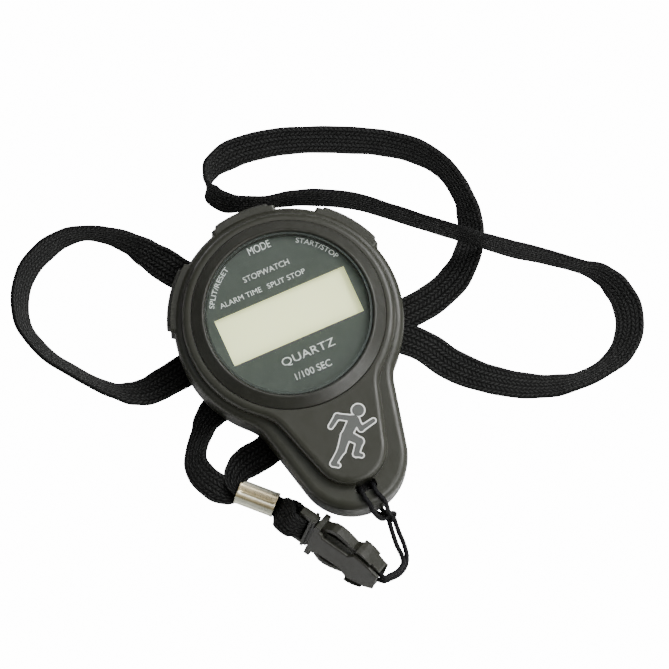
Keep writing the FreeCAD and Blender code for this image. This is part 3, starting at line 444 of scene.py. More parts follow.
for button, turn in LEAF_TURNS.items():
    contact_leaf(button, turn)

# ---------------------------------------------------------------- strap path, in lay axes
STRAP_THICK = 1.2
LOOP_THICK = 1.1                    # round the buckle's bar
HELD_THICK = 0.95                   # squeezed in the crimp
STRAP_STEP = 0.62                   # spacing of the cross-sections

BUCKLE_CENTRE = np.array([5.65, -56.7, 4.15])
BUCKLE_TILT = math.radians(60.0)    # turn of the buckle about its own length
BUCKLE_ALONG = unit([0.820, -0.5724, 0])
BUCKLE_WIDTH = across(BUCKLE_ALONG) * math.cos(BUCKLE_TILT) + UP * math.sin(BUCKLE_TILT)
BUCKLE_NORMAL = -across(BUCKLE_ALONG) * math.sin(BUCKLE_TILT) + UP * math.cos(BUCKLE_TILT)
CRIMP_CENTRE = np.array([-8.6, -46.95, -0.5])
CRIMP_ALONG = unit([0.932, -0.3624, 0])
CRIMP_ACROSS = across(CRIMP_ALONG)


def crimp_point(along, z):
    return CRIMP_CENTRE + CRIMP_ALONG * along + np.array([0, 0, z])


def buckle_point(along, width, normal):
    return BUCKLE_CENTRE + BUCKLE_ALONG * along + BUCKLE_WIDTH * width + BUCKLE_NORMAL * normal


def bar_station(along, normal, half_width):
    return (buckle_point(along, 0, normal), BUCKLE_WIDTH, half_width, LOOP_THICK)


def crimp_station(along, z, half_width):
    return (crimp_point(along, z), CRIMP_ACROSS, half_width, HELD_THICK)


def between(crimp_z, buckle_normal, offset):
    """Point midway from the crimp's mouth to the buckle, moved by an offset."""
    middle = (crimp_point(5.5, crimp_z) + buckle_point(-5.0, 0, buckle_normal)) * 0.5
    return middle + np.array(offset)


# Stations are (point, width direction, half width, thickness).
# Start of the strap: out of the crimp, round the buckle's bar and back through the crimp.
HEAD = [
    crimp_station(-3.0, -1.2, 1.7),
    crimp_station(5.65, -1.2, 1.8),
    (between(-1.2, -1.85, [0.2, 0.0, -0.6]),
     unit(CRIMP_ACROSS * 0.25 + BUCKLE_WIDTH * 0.75), 3.6, LOOP_THICK),
    bar_station(-5.2, -2.4, 3.8),
    bar_station(-4.1, -2.05, 3.8),
    bar_station(-3.05, -1.85, 3.9),
    bar_station(-1.74, -1.31, 3.9),
    bar_station(-1.2, 0, 3.9),
    bar_station(-1.74, 1.31, 3.9),
    bar_station(-3.05, 1.85, 3.9),
    bar_station(-4.4, 2.35, 4.7),
    (between(-0.05, 1.95, [-0.1, 0.1, 0.9]),
     unit(CRIMP_ACROSS * 0.85 + BUCKLE_WIDTH * 0.15), 4.6, LOOP_THICK),
    crimp_station(5.65, -0.05, 2.7),
    crimp_station(-5.65, -0.05, 2.7),
]
# Free run: x, y, lift above the table, turn about its own length in degrees, half width.
RUN = [
    (-16.4, -45.7, 0.9, 172, 3.0), (-19.5, -44.1, 0, 150, 4.3), (-23.2, -41.2, 0, 138, 4.5),
    (-25.2, -37.6, 0, 131, 4.5), (-24.9, -33.3, 0, 129, 4.5), (-23.3, -28.8, 0, 134, 4.5),
    (-21.7, -25.0, 0, 154, 4.5), (-19.2, -21.4, 0, 177, 4.5), (-15.8, -18.2, 0, 180, 4.5),
    (-11.0, -14.6, 0, 180, 4.5), (2.7, -8.4, 0, 180, 4.5), (16.4, -1.9, 0, 180, 4.5),
    (33.2, 5.8, 0, 180, 4.5), (38.9, 9.2, 0, 180, 4.5), (44.4, 14.1, 0, 172, 4.5),
    (47.9, 19.7, 0, 152, 4.5), (49.5, 26.4, 0, 142, 4.5), (48.9, 32.2, 0, 133, 4.5),
    (47.3, 37.4, 0, 118, 4.5), (42.2, 45.1, 0, 116, 4.5), (34.6, 50.0, 0, 123, 4.5),
    (25.2, 52.4, 0, 127, 4.5), (15.1, 53.2, 0, 128, 4.5), (6.0, 53.3, 0, 128, 4.5),
    (-4.9, 52.4, 0, 131, 4.5), (-15.6, 49.4, 0, 138, 4.5), (-21.2, 45.2, 0, 116, 4.5),
    (-22.3, 41.3, 0, 99, 4.5), (-21.0, 37.8, 0, 68, 4.5), (-17.5, 35.5, 0, 69, 4.5),
    (-12.3, 35.0, 0, 81, 4.5), (-6.4, 35.4, 0, 87, 4.5), (0.6, 36.5, 0, 81, 4.5),
    (7.0, 36.8, 0, 78, 4.5), (18.0, 35.7, 0, 78, 4.5), (28.2, 32.4, 0.6, 81, 4.5),
    (37.8, 28.4, 3.6, 82, 4.5), (49.3, 23.9, 6.9, 82, 4.5), (60.3, 21.3, 3.9, 79, 4.5),
    (69.9, 19.8, 0.8, 82, 4.5), (79.3, 17.3, 0, 84, 4.5), (85.3, 14.9, 0, 66, 4.5),
    (89.4, 11.0, 0, 45, 4.5), (92.0, 5.9, 0, 32, 4.5), (92.4, -0.3, 0, 31, 4.5),
    (90.0, -6.6, 0, 37, 4.5), (85.0, -11.3, 0, 50, 4.5), (78.9, -14.4, 0, 50, 4.5),
    (71.8, -15.8, 0, 36, 4.5), (63.0, -15.5, 0, 26, 4.5), (55.1, -13.8, 0, 17, 4.5),
    (48.8, -11.5, 0, 5, 4.5), (42.7, -8.4, 0.2, 0, 4.5), (38.4, -5.4, 0.9, 0, 4.5),
    (33.7, -3.1, 1.35, 0, 4.5), (16.4, 2.3, 1.35, 0, 4.5), (0.0, 7.1, 1.35, 0, 4.5),
    (-15.1, 11.4, 1.35, 0, 4.5), (-28.8, 15.4, 1.35, 0, 4.5), (-33.4, 18.2, 0.6, -8, 4.5),
    (-38.4, 21.1, 0, -41, 4.5), (-43.6, 24.0, 0, -65, 4.5), (-49.9, 26.1, 0, -78, 4.5),
    (-55.6, 26.7, 0, -82, 4.5), (-61.2, 25.3, 0, -73, 4.5), (-67.0, 21.3, 0, -63, 4.5),
    (-71.3, 15.7, 0, -60, 4.5), (-73.1, 8.5, 0, -62, 4.5), (-72.1, 0.9, 0, -62, 4.5),
    (-68.8, -4.0, 0, -61, 4.5), (-64.5, -8.3, 0, -61, 4.5), (-59.5, -11.4, 0, -61, 4.5),
    (-54.2, -14.5, 0, -60, 4.5), (-47.7, -17.3, 0, -54, 4.5), (-42.7, -18.0, 0, -37, 4.5),
    (-38.4, -17.1, 0, -18, 4.5), (-33.7, -14.4, 0.5, -5, 4.5), (-29.3, -11.9, 1.35, 0, 4.5),
    (-22.4, -7.8, 1.35, 0, 4.5), (-14.6, -5.7, 1.35, 0, 4.5), (-6.9, -7.7, 1.35, 0, 4.5),
    (-1.3, -13.3, 1.35, 0, 4.5), (0.8, -21.0, 1.35, 0, 4.5), (-1.3, -28.7, 1.35, 0, 4.5),
    (-6.8, -34.2, 1.35, 0, 4.5), (-9.9, -36.0, 1.2, 0, 4.5), (-12.3, -38.0, 1.9, 0, 4.3),
    (-14.0, -40.4, 2.9, 0, 3.7), (-14.7, -42.8, 3.5, 0, 2.8),
]
# End of the strap, held in the crimp.
FOOT = [crimp_station(-5.65, 1.1, 1.8), crimp_station(3.0, 1.1, 1.7)]


def catmull(before, start, end, after, t):
    """Centripetal Catmull-Rom point between start and end."""
    def knot_step(a, b):
        return max(np.linalg.norm(b - a), 1e-6) ** 0.5
    t1 = knot_step(before, start)
    t2 = t1 + knot_step(start, end)
    t3 = t2 + knot_step(end, after)
    u = t1 + (t2 - t1) * t
    a1 = before * ((t1 - u) / t1) + start * (u / t1)
    a2 = start * ((t2 - u) / (t2 - t1)) + end * ((u - t1) / (t2 - t1))
    a3 = end * ((t3 - u) / (t3 - t2)) + after * ((u - t2) / (t3 - t2))
    b1 = a1 * ((t2 - u) / t2) + a2 * (u / t2)
    b2 = a2 * ((t3 - u) / (t3 - t1)) + a3 * ((u - t1) / (t3 - t1))
    return b1 * ((t2 - u) / (t2 - t1)) + b2 * ((u - t1) / (t2 - t1))


def run_stations():
    """The free run as stations, each resting on the table or lifted off it."""
    points = []
    for x, y, lift, roll, half_width in RUN:
        r = math.radians(roll)
        rest = half_width * abs(math.sin(r)) + STRAP_THICK / 2 * abs(math.cos(r))
        points.append(np.array([x, y, TABLE_Z + rest + lift]))
    path = [HEAD[-1][0]] + points + [FOOT[0][0]]
    stations = []
    for i, (_, _, _, roll, half_width) in enumerate(RUN):
        chord = path[i + 2] - path[i]
        sideways = across(unit([chord[0], chord[1], 0]))
        r = math.radians(roll)
        width_dir = sideways * math.cos(r) + np.array([0, 0, math.sin(r)])
        stations.append((points[i], width_dir, half_width, STRAP_THICK))
    return stations


def strap_sections():
    """Points, width directions, normals, half widths, thicknesses and lengths so far."""
    stations = HEAD + run_stations() + FOOT
    sections = []
    for i in range(len(stations) - 1):
        start, end = stations[i][0], stations[i + 1][0]
        before = stations[i - 1][0] if i else start * 2 - end
        after = stations[i + 2][0] if i + 2 < len(stations) else end * 2 - start
        count = max(1, int(round(np.linalg.norm(end - start) / STRAP_STEP)))
        for k in range(count):
            t = k / count
            ease = t * t * (3 - 2 * t)
            eased = [a * (1 - ease) + b * ease
                     for a, b in zip(stations[i][1:], stations[i + 1][1:])]
            sections.append([catmull(before, start, end, after, t)] + eased)
    sections.append(stations[-1])
    points, widths, half_widths, thicks = (np.array(column) for column in zip(*sections))
    tangents = np.gradient(points, axis=0)
    tangents /= np.linalg.norm(tangents, axis=1)[:, None]
    widths -= tangents * (widths * tangents).sum(1)[:, None]
    widths /= np.linalg.norm(widths, axis=1)[:, None]
    normals = np.cross(tangents, widths)
    return points, widths, normals, half_widths, thicks, lengths_along(points)


# ---------------------------------------------------------------- strap
BRAID_ROWS = 7                      # lengthwise rows of stitches across one face
POINTS_PER_ROW = 5
BRAID_EDGE = 0.10                   # rounded part at each edge, as a share of the half width
STITCH_PITCH = 1.25
UV_SPAN = 100.0                     # millimetres, or rows, in one UV unit


def braid_profile():
    """(across -1..1, half height 0..1, row) over one face of the flat braid."""
    ridges = []
    for row in range(BRAID_ROWS):
        for k in range(POINTS_PER_ROW):
            f = k / POINTS_PER_ROW
            height = 0.80 + 0.20 * math.sqrt(max(0.0, 1 - (2 * f - 1) ** 2))
            ridges.append([(row + f) / BRAID_ROWS * 2 - 1, height, row + f])
    ridges.append([1.0, 0.80, float(BRAID_ROWS)])
    profile = []
    for side, height, row in ridges:
        inset = min(1.0, (1 - abs(side)) / BRAID_EDGE)
        if inset < 1:
            height *= math.sqrt(max(0.0, 1 - (1 - inset) ** 2))
        profile.append((side, height, row))
    return profile


def build_strap():
    points, widths, normals, half_widths, thicks, lengths = strap_sections()
    face = braid_profile()
    ring = face + [(side, -height, row) for side, height, row in reversed(face[1:-1])]
    sides, heights, rows = np.array(ring).T
    wobble = 1 + 0.012 * np.sin(lengths / 3.1) + 0.01 * np.sin(lengths / 1.37 + 1.0)
    verts = (points[:, None, :]
             + widths[:, None, :] * (sides[None, :] * (half_widths * wobble)[:, None])[..., None]
             + normals[:, None, :] * (heights[None, :] * (thicks / 2)[:, None])[..., None])
    count, around = len(points), len(ring)
    uvs = np.stack([np.repeat(lengths[:, None], around, 1) / UV_SPAN,
                    np.repeat(rows[None, :], count, 0) / UV_SPAN], -1).reshape(-1, 2)
    return new_mesh("neck_strap_braid", lay_to_case(verts).reshape(-1, 3),
                    tube_faces(count, around), uvs)


def black_braid():
    """Plaited yarn: slanted stitches in rows, alternate rows leaning opposite ways."""
    base = (0.0066, 0.0068, 0.0066)
    mat = Material("black_braid", base, rough=0.62, specular=0.16)
    uv = mat.node("ShaderNodeSeparateXYZ")
    mat.link(mat.coord("UV"), uv.inputs[0])
    stitches = mat.math("MULTIPLY", uv.outputs[0], UV_SPAN / STITCH_PITCH)
    rows = mat.math("MULTIPLY", uv.outputs[1], UV_SPAN)
    row = mat.math("FLOOR", rows)
    over = mat.math("FRACT", rows)
    odd = mat.math("MODULO", row, 2.0)
    lean = mat.math("SUBTRACT", mat.math("MULTIPLY", odd, 2.0), 1.0)
    slant = mat.math("MULTIPLY", mat.math("SUBTRACT", over, 0.5), 0.9)
    phase = mat.math("ADD", stitches, mat.math("MULTIPLY", lean, slant))
    # odd rows are shifted by half a stitch
    phase = mat.math("ADD", phase, mat.math("MULTIPLY", odd, 0.5))
    along = mat.math("FRACT", phase)

    def dome(fraction, power):
        return mat.math("POWER", mat.math("SINE", mat.math("MULTIPLY", fraction, math.pi)), power)

    height = mat.math("MULTIPLY", dome(along, 0.55), dome(over, 0.5))
    # fine diagonal yarns within each stitch
    yarn_phase = mat.math("MULTIPLY", mat.weighted(over, 4.0, along, 3.0), 2 * math.pi)
    yarn = mat.math("SINE", yarn_phase)
    fuzz = mat.noise(0.16, detail=4.0, rough=0.7)
    patches = mat.noise(2.2, detail=3.0, rough=0.6)
    mat.bump(mat.math("ADD", height, mat.weighted(yarn, 0.10, fuzz, 0.175)), depth=0.34)
    # colour: painted shade in the valleys between stitches and painted highlights on the stitch
    # tops, mixed with random tone
    painted_stitch_light_and_tone = mat.weighted(height, 0.75, patches, 0.35)
    stops = [(0.15, scaled(base, 0.2)), (0.6, base), (1.0, scaled(base, 4.2))]
    mat.drive("Base Color", mat.ramp(painted_stitch_light_and_tone, stops))
    mat.drive("Roughness", mat.remap(fuzz, 0.48, 0.75, from_low=0.3, from_high=0.7))
    return mat


strap = build_strap()
strap.data.materials.append(black_braid().data)
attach(strap, "strap_half")
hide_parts("lanyard_strap")

# ---------------------------------------------------------------- thin cord, in lay axes
CORD_STEP = 0.14
CORD_SIDES = 20
CORD_STRANDS = 4
CORD_PITCH = 2.6
CORD_RELIEF = 0.075                 # depth of the valleys between yarns
CORD_UV_ROWS = 6                    # rows round the cord in its UV map
LONG_RADIUS, SLOT_RADIUS, KNOT_RADIUS = 0.70, 0.68, 0.66
KNOT = case_to_lay(3.75, -59.1, 2.0)
KNOT_POINTS = 150
KNOT_SIZE = 0.42
KNOT_TILT = 0.5                     # radians about the lay x axis
POST_ALONG = 21.6                   # the buckle's far post, along its length
POST_BEND = 1.46                    # radius of the cord's bend round the post


def smooth_path(points):
    points = [np.asarray(p, float) for p in points]
    padded = [points[0] * 2 - points[1]] + points + [points[-1] * 2 - points[-2]]
    path = []
    for i in range(1, len(padded) - 2):
        count = max(1, int(round(np.linalg.norm(padded[i + 1] - padded[i]) / CORD_STEP)))
        path += [catmull(*padded[i - 1:i + 3], k / count) for k in range(count)]
    return np.array(path + [points[-1]])


def side_directions(path, closed):
    """Two directions square to the path at each point, carried along without twist."""
    tangents = np.roll(path, -1, 0) - np.roll(path, 1, 0) if closed else np.gradient(path, axis=0)
    tangents = tangents / np.linalg.norm(tangents, axis=1)[:, None]
    first = tangents[0]
    side = unit(np.cross(first, UP if abs(first[2]) < 0.9 else [1.0, 0, 0]))
    firsts = []
    for tangent in tangents:
        side = unit(side - tangent * np.dot(side, tangent))
        firsts.append(side)
    firsts = np.array(firsts)
    return firsts, np.cross(tangents, firsts)


def braided_tube(name, path, radius, closed=False):
    """Round braid: two families of helical yarns crossing over each other."""
    firsts, seconds = side_directions(path, closed)
    count = len(path)
    lengths = lengths_along(path)
    angles = np.arange(CORD_SIDES) * 2 * math.pi / CORD_SIDES
    twist = 2 * math.pi * lengths[:, None] / CORD_PITCH * 2
    crossing = np.maximum(np.cos(CORD_STRANDS * angles[None, :] + twist),
                          np.cos(CORD_STRANDS * angles[None, :] - twist))
    radii = radius - CORD_RELIEF + CORD_RELIEF * crossing
    verts = (path[:, None, :]
             + firsts[:, None, :] * (radii * np.cos(angles)[None, :])[..., None]
             + seconds[:, None, :] * (radii * np.sin(angles)[None, :])[..., None])
    rows = np.arange(CORD_SIDES) / CORD_SIDES * CORD_UV_ROWS
    uvs = np.stack([np.repeat(lengths[:, None], CORD_SIDES, 1) / UV_SPAN,
                    np.repeat(rows[None, :], count, 0) / UV_SPAN], -1).reshape(-1, 2)
    return new_mesh(name, lay_to_case(verts).reshape(-1, 3),
                    tube_faces(count, CORD_SIDES, closed), uvs)


def black_cord():
    mat = Material("black_cord", (0.005, 0.005, 0.006), rough=0.6, specular=0.14)
    fuzz = mat.noise(0.12, detail=4.0, rough=0.7)
    patches = mat.noise(0.9, detail=3.0, rough=0.6)
    mat.bump(fuzz, depth=0.05)
    tone = mat.weighted(fuzz, 0.5, patches, 0.5)
    stops = [(0.3, (0.0025, 0.0025, 0.003)), (0.7, (0.008, 0.008, 0.009))]
    mat.drive("Base Color", mat.ramp(tone, stops))
    mat.drive("Roughness", mat.remap(fuzz, 0.45, 0.75, from_low=0.3, from_high=0.7))
    return mat


def long_loop():
    """From the knot round the buckle's far post and back."""
    turns = [math.radians(a) for a in (285, 264, 237, 210, 183, 156, 129, 102, 75)]
    bend = [buckle_point(POST_ALONG + POST_BEND * math.cos(a), POST_BEND * math.sin(a), 0)
            for a in turns]
    out = [KNOT + (0.75, 0.0, -0.1), (29.6, -56.1, -0.3), (31.2, -59.7, -1.8),
           (31.9, -62.8, -2.05), (31.6, -65.3, -1.6), (30.0, -68.1, 0.1), (27.4, -70.0, 2.1),
           buckle_point(24.4, -1.05, -0.3)]
    back = [buckle_point(24.4, 1.05, 0.3), (27.3, -69.55, 4.1), (29.55, -67.7, 1.9),
            (30.95, -64.95, -0.3), (30.5, -62.5, -1.75), (29.2, -59.7, -2.0),
            (27.9, -56.1, -0.7), KNOT + (-0.75, 0.0, -0.3)]
    return out + bend + back


def slot_loop(slot_x, over_x, under_x, spread, sag):
    """From the knot over the tail, down through it and back underneath; x is in case axes."""
    over = [((over_x + 3.75) / 2, -58.7 - sag, 4.6 - sag), (over_x, -57.85, 10.4),
            ((2 * over_x + slot_x) / 3, -56.35, 13.2)]
    # y, z down through the slot
    down = [(slot_x, y, z) for y, z in ((-54.2, 13.8), (-51.95, 13.5), (-51.2, 11.6),
                                        (-51.2, 6.0), (-51.25, 1.0), (-51.95, -0.9))]
    under = [((slot_x + under_x) / 2, -54.0, -1.1), (under_x, -56.6, -0.95)]
    middle = [case_to_lay(*point) for point in over + down + under]
    return [KNOT + (0.15 - spread, 0, 0.8)] + middle + [KNOT + (-0.2 + spread, 0.5, -0.75)]


def knot_path():
    """Trefoil knot, tilted."""
    t = np.linspace(0, 2 * math.pi, KNOT_POINTS, endpoint=False)
    trefoil = np.stack([np.sin(t) + 2 * np.sin(2 * t), np.cos(t) - 2 * np.cos(2 * t),
                        -np.sin(3 * t) * 1.1], -1) * KNOT_SIZE
    x, y, z = trefoil.T
    c, s = math.cos(KNOT_TILT), math.sin(KNOT_TILT)
    return KNOT + np.stack([x, y * c - z * s, y * s + z * c], -1)


cord_material = black_cord()
slot_path_a = slot_loop(slot_x=1.8, over_x=3.1, under_x=2.9, spread=0.0, sag=0.0)
slot_path_b = slot_loop(slot_x=-1.7, over_x=-0.9, under_x=1.4, spread=0.5, sag=0.8)
cords = [braided_tube("cord_long_loop", smooth_path(long_loop()), LONG_RADIUS),
         braided_tube("cord_slot_loop_a", smooth_path(slot_path_a), SLOT_RADIUS),
         braided_tube("cord_slot_loop_b", smooth_path(slot_path_b), SLOT_RADIUS),
         braided_tube("cord_knot", knot_path(), KNOT_RADIUS, closed=True)]
for cord in cords:
    cord.data.materials.append(cord_material.data)
    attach(cord, "case")
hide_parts("lanyard_cord")

# ---------------------------------------------------------------- crimp with pressed grooves
CRIMP_OUTER, CRIMP_INNER = 2.27, 1.97   # radii of the rounded sides
CRIMP_HALF_FLAT = 1.15              # half length of the flat top and bottom
CRIMP_AROUND = 144
# Stations along the crimp: place, flare of the outer radius, groove depth.
CRIMP_STATIONS = [
    (-5.5, 0.02, 0.04), (-5.4, 0.10, 0.06), (-5.0, 0.06, 0.16), (-4.5, 0.0, 0.30),
    (-3.7, 0.0, 0.36), (3.7, 0.0, 0.36), (4.5, 0.0, 0.30), (5.0, 0.06, 0.16),
    (5.4, 0.10, 0.06), (5.5, 0.02, 0.04),
]


def crimp_ring(along, radius, groove):
    """Oval of points at one station, pressed in along the top and bottom."""
    flat, half_turn = 2 * CRIMP_HALF_FLAT, math.pi * radius
    perimeter = 2 * math.pi * radius + 2 * flat
    ring = []
    for k in range(CRIMP_AROUND):
        s = k / CRIMP_AROUND * perimeter
        if s < flat:
            side, z, out = -CRIMP_HALF_FLAT + s, radius, (0, 1)
        elif s < flat + half_turn:
            a = math.pi / 2 - (s - flat) / radius
            out = (math.cos(a), math.sin(a))
            side, z = CRIMP_HALF_FLAT + radius * out[0], radius * out[1]
        elif s < 2 * flat + half_turn:
            side, z, out = CRIMP_HALF_FLAT - (s - flat - half_turn), -radius, (0, -1)
        else:
            a = -math.pi / 2 - (s - 2 * flat - half_turn) / radius
            out = (math.cos(a), math.sin(a))
            side, z = -CRIMP_HALF_FLAT + radius * out[0], radius * out[1]
        press = 0.0
        if abs(z) > 0.6:
            # a wide central groove and a faint one on each side of it
            press = groove * (math.exp(-(side / 0.55) ** 2)
                              + 0.16 * math.exp(-((abs(side) - 2.1) / 0.28) ** 2))
        ring.append(CRIMP_CENTRE + CRIMP_ALONG * along + CRIMP_ACROSS * (side - out[0] * press)
                    + np.array([0, 0, z - out[1] * press]))
    return ring


def build_crimp():
    """Outer wall one way, inner wall back, joined at both ends."""
    rings = [crimp_ring(along, CRIMP_OUTER + flare, groove)
             for along, flare, groove in CRIMP_STATIONS]
    rings += [crimp_ring(along, CRIMP_INNER, groove * 0.5)
              for along, _, groove in reversed(CRIMP_STATIONS)]
    starts = [i * CRIMP_AROUND for i in range(len(rings))]
    faces = []
    for a, b in zip(starts, starts[1:] + starts[:1]):
        for j in range(CRIMP_AROUND):
            k = (j + 1) % CRIMP_AROUND
            faces.append((a + j, a + k, b + k, b + j))
    return new_mesh("crimp_grooved", lay_to_case(np.array(rings).reshape(-1, 3)), faces)


def crimp_nickel_painted_reflections():
    """Nickel with painted reflections: bands of highlight and shade across its width."""
    mat, _ = scratched_metal("crimp_nickel_painted_reflections", (1.0, 0.90, 0.62), rough=0.28,
                             metallic=0.6, scratch=0.0015)
    centre = lay_to_case(CRIMP_CENTRE) * MM
    offset = mat.node("ShaderNodeVectorMath", operation="SUBTRACT")
    mat.link(mat.coord(), offset.inputs[0])
    offset.inputs[1].default_value = tuple(centre.tolist())
    distance = mat.node("ShaderNodeVectorMath", operation="DOT_PRODUCT")
    mat.link(offset.outputs[0], distance.inputs[0])
    distance.inputs[1].default_value = tuple(lay_to_case(CRIMP_ACROSS).tolist())
    # 3.4 mm either side of the centre line, in metres
    place = mat.remap(distance.outputs["Value"], 0.0, 1.0, from_low=-0.0034, from_high=0.0034)
    waver = mat.math("SUBTRACT", mat.noise(1.4, detail=3.0), 0.5)
    bands = mat.math("ADD", place, mat.math("MULTIPLY", waver, 0.012))
    # the stops are painted highlights and painted dark reflection bands across the crimp's width
    stops = [(0.03, (0.70, 0.70, 0.56)), (0.13, (0.95, 0.96, 0.78)), (0.22, (0.32, 0.26, 0.13)),
             (0.30, (0.80, 0.68, 0.42)), (0.38, (1.0, 0.95, 0.74)), (0.46, (0.33, 0.27, 0.14)),
             (0.54, (0.80, 0.67, 0.40)), (0.74, (0.98, 0.85, 0.56)), (0.88, (1.0, 1.0, 0.82)),
             (0.97, (0.75, 0.76, 0.60))]
    mat.drive("Base Color", mat.ramp(bands, stops))
    return mat


crimp = build_crimp()
crimp.data.materials.append(crimp_nickel_painted_reflections().data)
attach(crimp, "strap_half")
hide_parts("crimp_ferrule")

# ---------------------------------------------------------------- printing
PRINT_LIFT = 0.03                   # top of the ink above the surface
INK_THICK = 0.025
DIAL_ARC_CENTRE = (0.3, 0.6)
# name, text, height, width, x, y, boldness, arc (radius, degrees clockwise from +Y)
LETTERING = [
    ("print_mode", "MODE", 2.15, 6.4, 0.3, 20.6, 0.0, None),
    ("print_start_stop", "START/STOP", 1.4, 12.4, *DIAL_ARC_CENTRE, 0.0, (20.5, 46.5)),
    ("print_split_reset", "SPLIT/RESET", 1.4, 12.2, *DIAL_ARC_CENTRE, 0.0, (20.9, -46.0)),
    ("print_stopwatch", "STOPWATCH", 1.65, 13.4, -0.6, 13.9, 0.008, None),
    ("print_alarm_time", "ALARM TIME", 1.45, 12.2, -9.9, 9.75, 0.0, None),
    ("print_split_stop", "SPLIT STOP", 1.45, 11.1, 3.5, 9.7, 0.0, None),
    ("print_quartz", "QUARTZ", 2.7, 15.5, 0.6, -11.7, 0.004, None),
    ("print_hundredths", "1/100 SEC", 2.0, 10.5, -0.1, -16.5, 0.012, None),
]


def ink(name, base):
    mat = Material(name, base, rough=0.5)
    speckle = mat.noise(0.09)
    mat.drive("Base Color", mat.ramp(speckle, [(0.25, scaled(base, 0.82)), (0.6, base)]))
    mat.bump(speckle, depth=0.006)
    return mat


white_ink = ink("white_ink", (0.80, 0.81, 0.78))
grey_ink = ink("grey_ink", (0.085, 0.090, 0.083))


def print_on_case(name, mesh, mat, thick, weld=False):
    """Thicken a flat mesh downwards into a layer of ink carried by the case."""
    obj = link_object(name, mesh)
    bm = bmesh.new()
    bm.from_mesh(mesh)
    if weld:
        bmesh.ops.remove_doubles(bm, verts=bm.verts, dist=1e-7)
    extruded = bmesh.ops.extrude_face_region(bm, geom=list(bm.faces))["geom"]
    bmesh.ops.translate(bm, vec=(0, 0, -thick * MM),
                        verts=[g for g in extruded if isinstance(g, bmesh.types.BMVert)])
    bmesh.ops.recalc_face_normals(bm, faces=bm.faces)
    bm.to_mesh(mesh)
    bm.free()
    mesh.materials.append(mat.data)
    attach(obj, "case")


def print_text(name, text, height, width, x, y, bold, arc):
    """Lettering fitted to a height and width; an arc bends it round the centre x, y."""
    curve = bpy.data.curves.new(name, "FONT")
    curve.body = text
    curve.offset = bold
    curve.resolution_u = 4
    source = link_object(name + "_tmp", curve)
    bpy.context.view_layer.update()
    mesh = bpy.data.meshes.new_from_object(source)
    mesh.materials.clear()
    bpy.data.objects.remove(source)
    bpy.data.curves.remove(curve)
    points = np.array([v.co for v in mesh.vertices], float)
    low, high = points.min(0), points.max(0)
    for axis, size in enumerate((width, height)):
        scale = size / (high[axis] - low[axis])
        points[:, axis] = (points[:, axis] - (low[axis] + high[axis]) / 2) * scale
    if arc:
        radius, degrees = arc
        angles = math.radians(degrees) + points[:, 0] / radius
        radii = radius + points[:, 1]
        points[:, 0] = radii * np.sin(angles)
        points[:, 1] = radii * np.cos(angles)
    points[:, 0] += x
    points[:, 1] += y
    points[:, 2] = DIAL_Z + PRINT_LIFT
    mesh.vertices.foreach_set("co", (points * MM).astype(np.float32).ravel())
    mesh.update()
    print_on_case(name, mesh, white_ink, INK_THICK, weld=True)


for row in LETTERING:
    print_text(*row)

# ---------------------------------------------------------------- runner on the tail
RUNNER_X, RUNNER_Y = 1.75, -37.75
RUNNER_TURN = -LAY_ANGLE            # upright in the lay axes
RUNNER_BORDER = 0.40
RUNNER_HEAD = (1.75, 7.15, 1.62)    # x, y, radius
LIMB_BLEND = 0.35                   # softness where limbs meet
RUNNER_GRID = 0.11
RUNNER_X_RANGE, RUNNER_Y_RANGE = (-9, 9), (-48, -26)
# Tapered limbs in the figure's own axes (y up, running to +x): start, end, radius at each.
LIMBS = [
    ((0.6, 4.3), (-1.4, 0.1), 1.45, 1.2),       # trunk
    ((-1.1, 0.2), (2.2, -1.5), 1.2, 0.95),      # leading leg
    ((2.2, -1.5), (1.2, -5.0), 0.9, 0.68),
    ((1.2, -5.0), (2.7, -5.4), 0.6, 0.48),
    ((-1.6, 0.0), (-2.7, -3.9), 1.2, 0.95),     # trailing leg
    ((-2.7, -3.9), (-4.9, -7.7), 0.9, 0.66),
    ((-4.9, -7.7), (-3.6, -8.2), 0.58, 0.46),
    ((1.1, 4.5), (2.6, 2.0), 0.76, 0.66),       # forward arm
    ((2.6, 2.0), (5.9, 4.3), 0.64, 0.52),
    ((-0.1, 4.9), (-3.9, 5.4), 0.76, 0.66),     # rear arm
    ((-3.9, 5.4), (-5.6, 2.6), 0.64, 0.52),
]


def limb_distance(x, y, start, end, start_radius, end_radius):
    ax, ay = start
    dx, dy = end[0] - ax, end[1] - ay
    t = np.clip(((x - ax) * dx + (y - ay) * dy) / (dx * dx + dy * dy), 0, 1)
    return np.hypot(x - ax - dx * t, y - ay - dy * t) - (start_radius * (1 - t) + end_radius * t)


def runner_distance(x, y):
    """Signed distance to the running figure, negative inside."""
    c, s = math.cos(RUNNER_TURN), math.sin(RUNNER_TURN)
    x, y = x - RUNNER_X, y - RUNNER_Y
    x, y = x * c + y * s, -x * s + y * c
    head_x, head_y, head_radius = RUNNER_HEAD
    head = np.hypot(x - head_x, y - head_y) - head_radius
    body = limb_distance(x, y, *LIMBS[0])
    for limb in LIMBS[1:]:
        part = limb_distance(x, y, *limb)
        h = np.clip(0.5 + 0.5 * (body - part) / LIMB_BLEND, 0, 1)
        body = body * (1 - h) + part * h - LIMB_BLEND * h * (1 - h)
    return np.minimum(head, body)


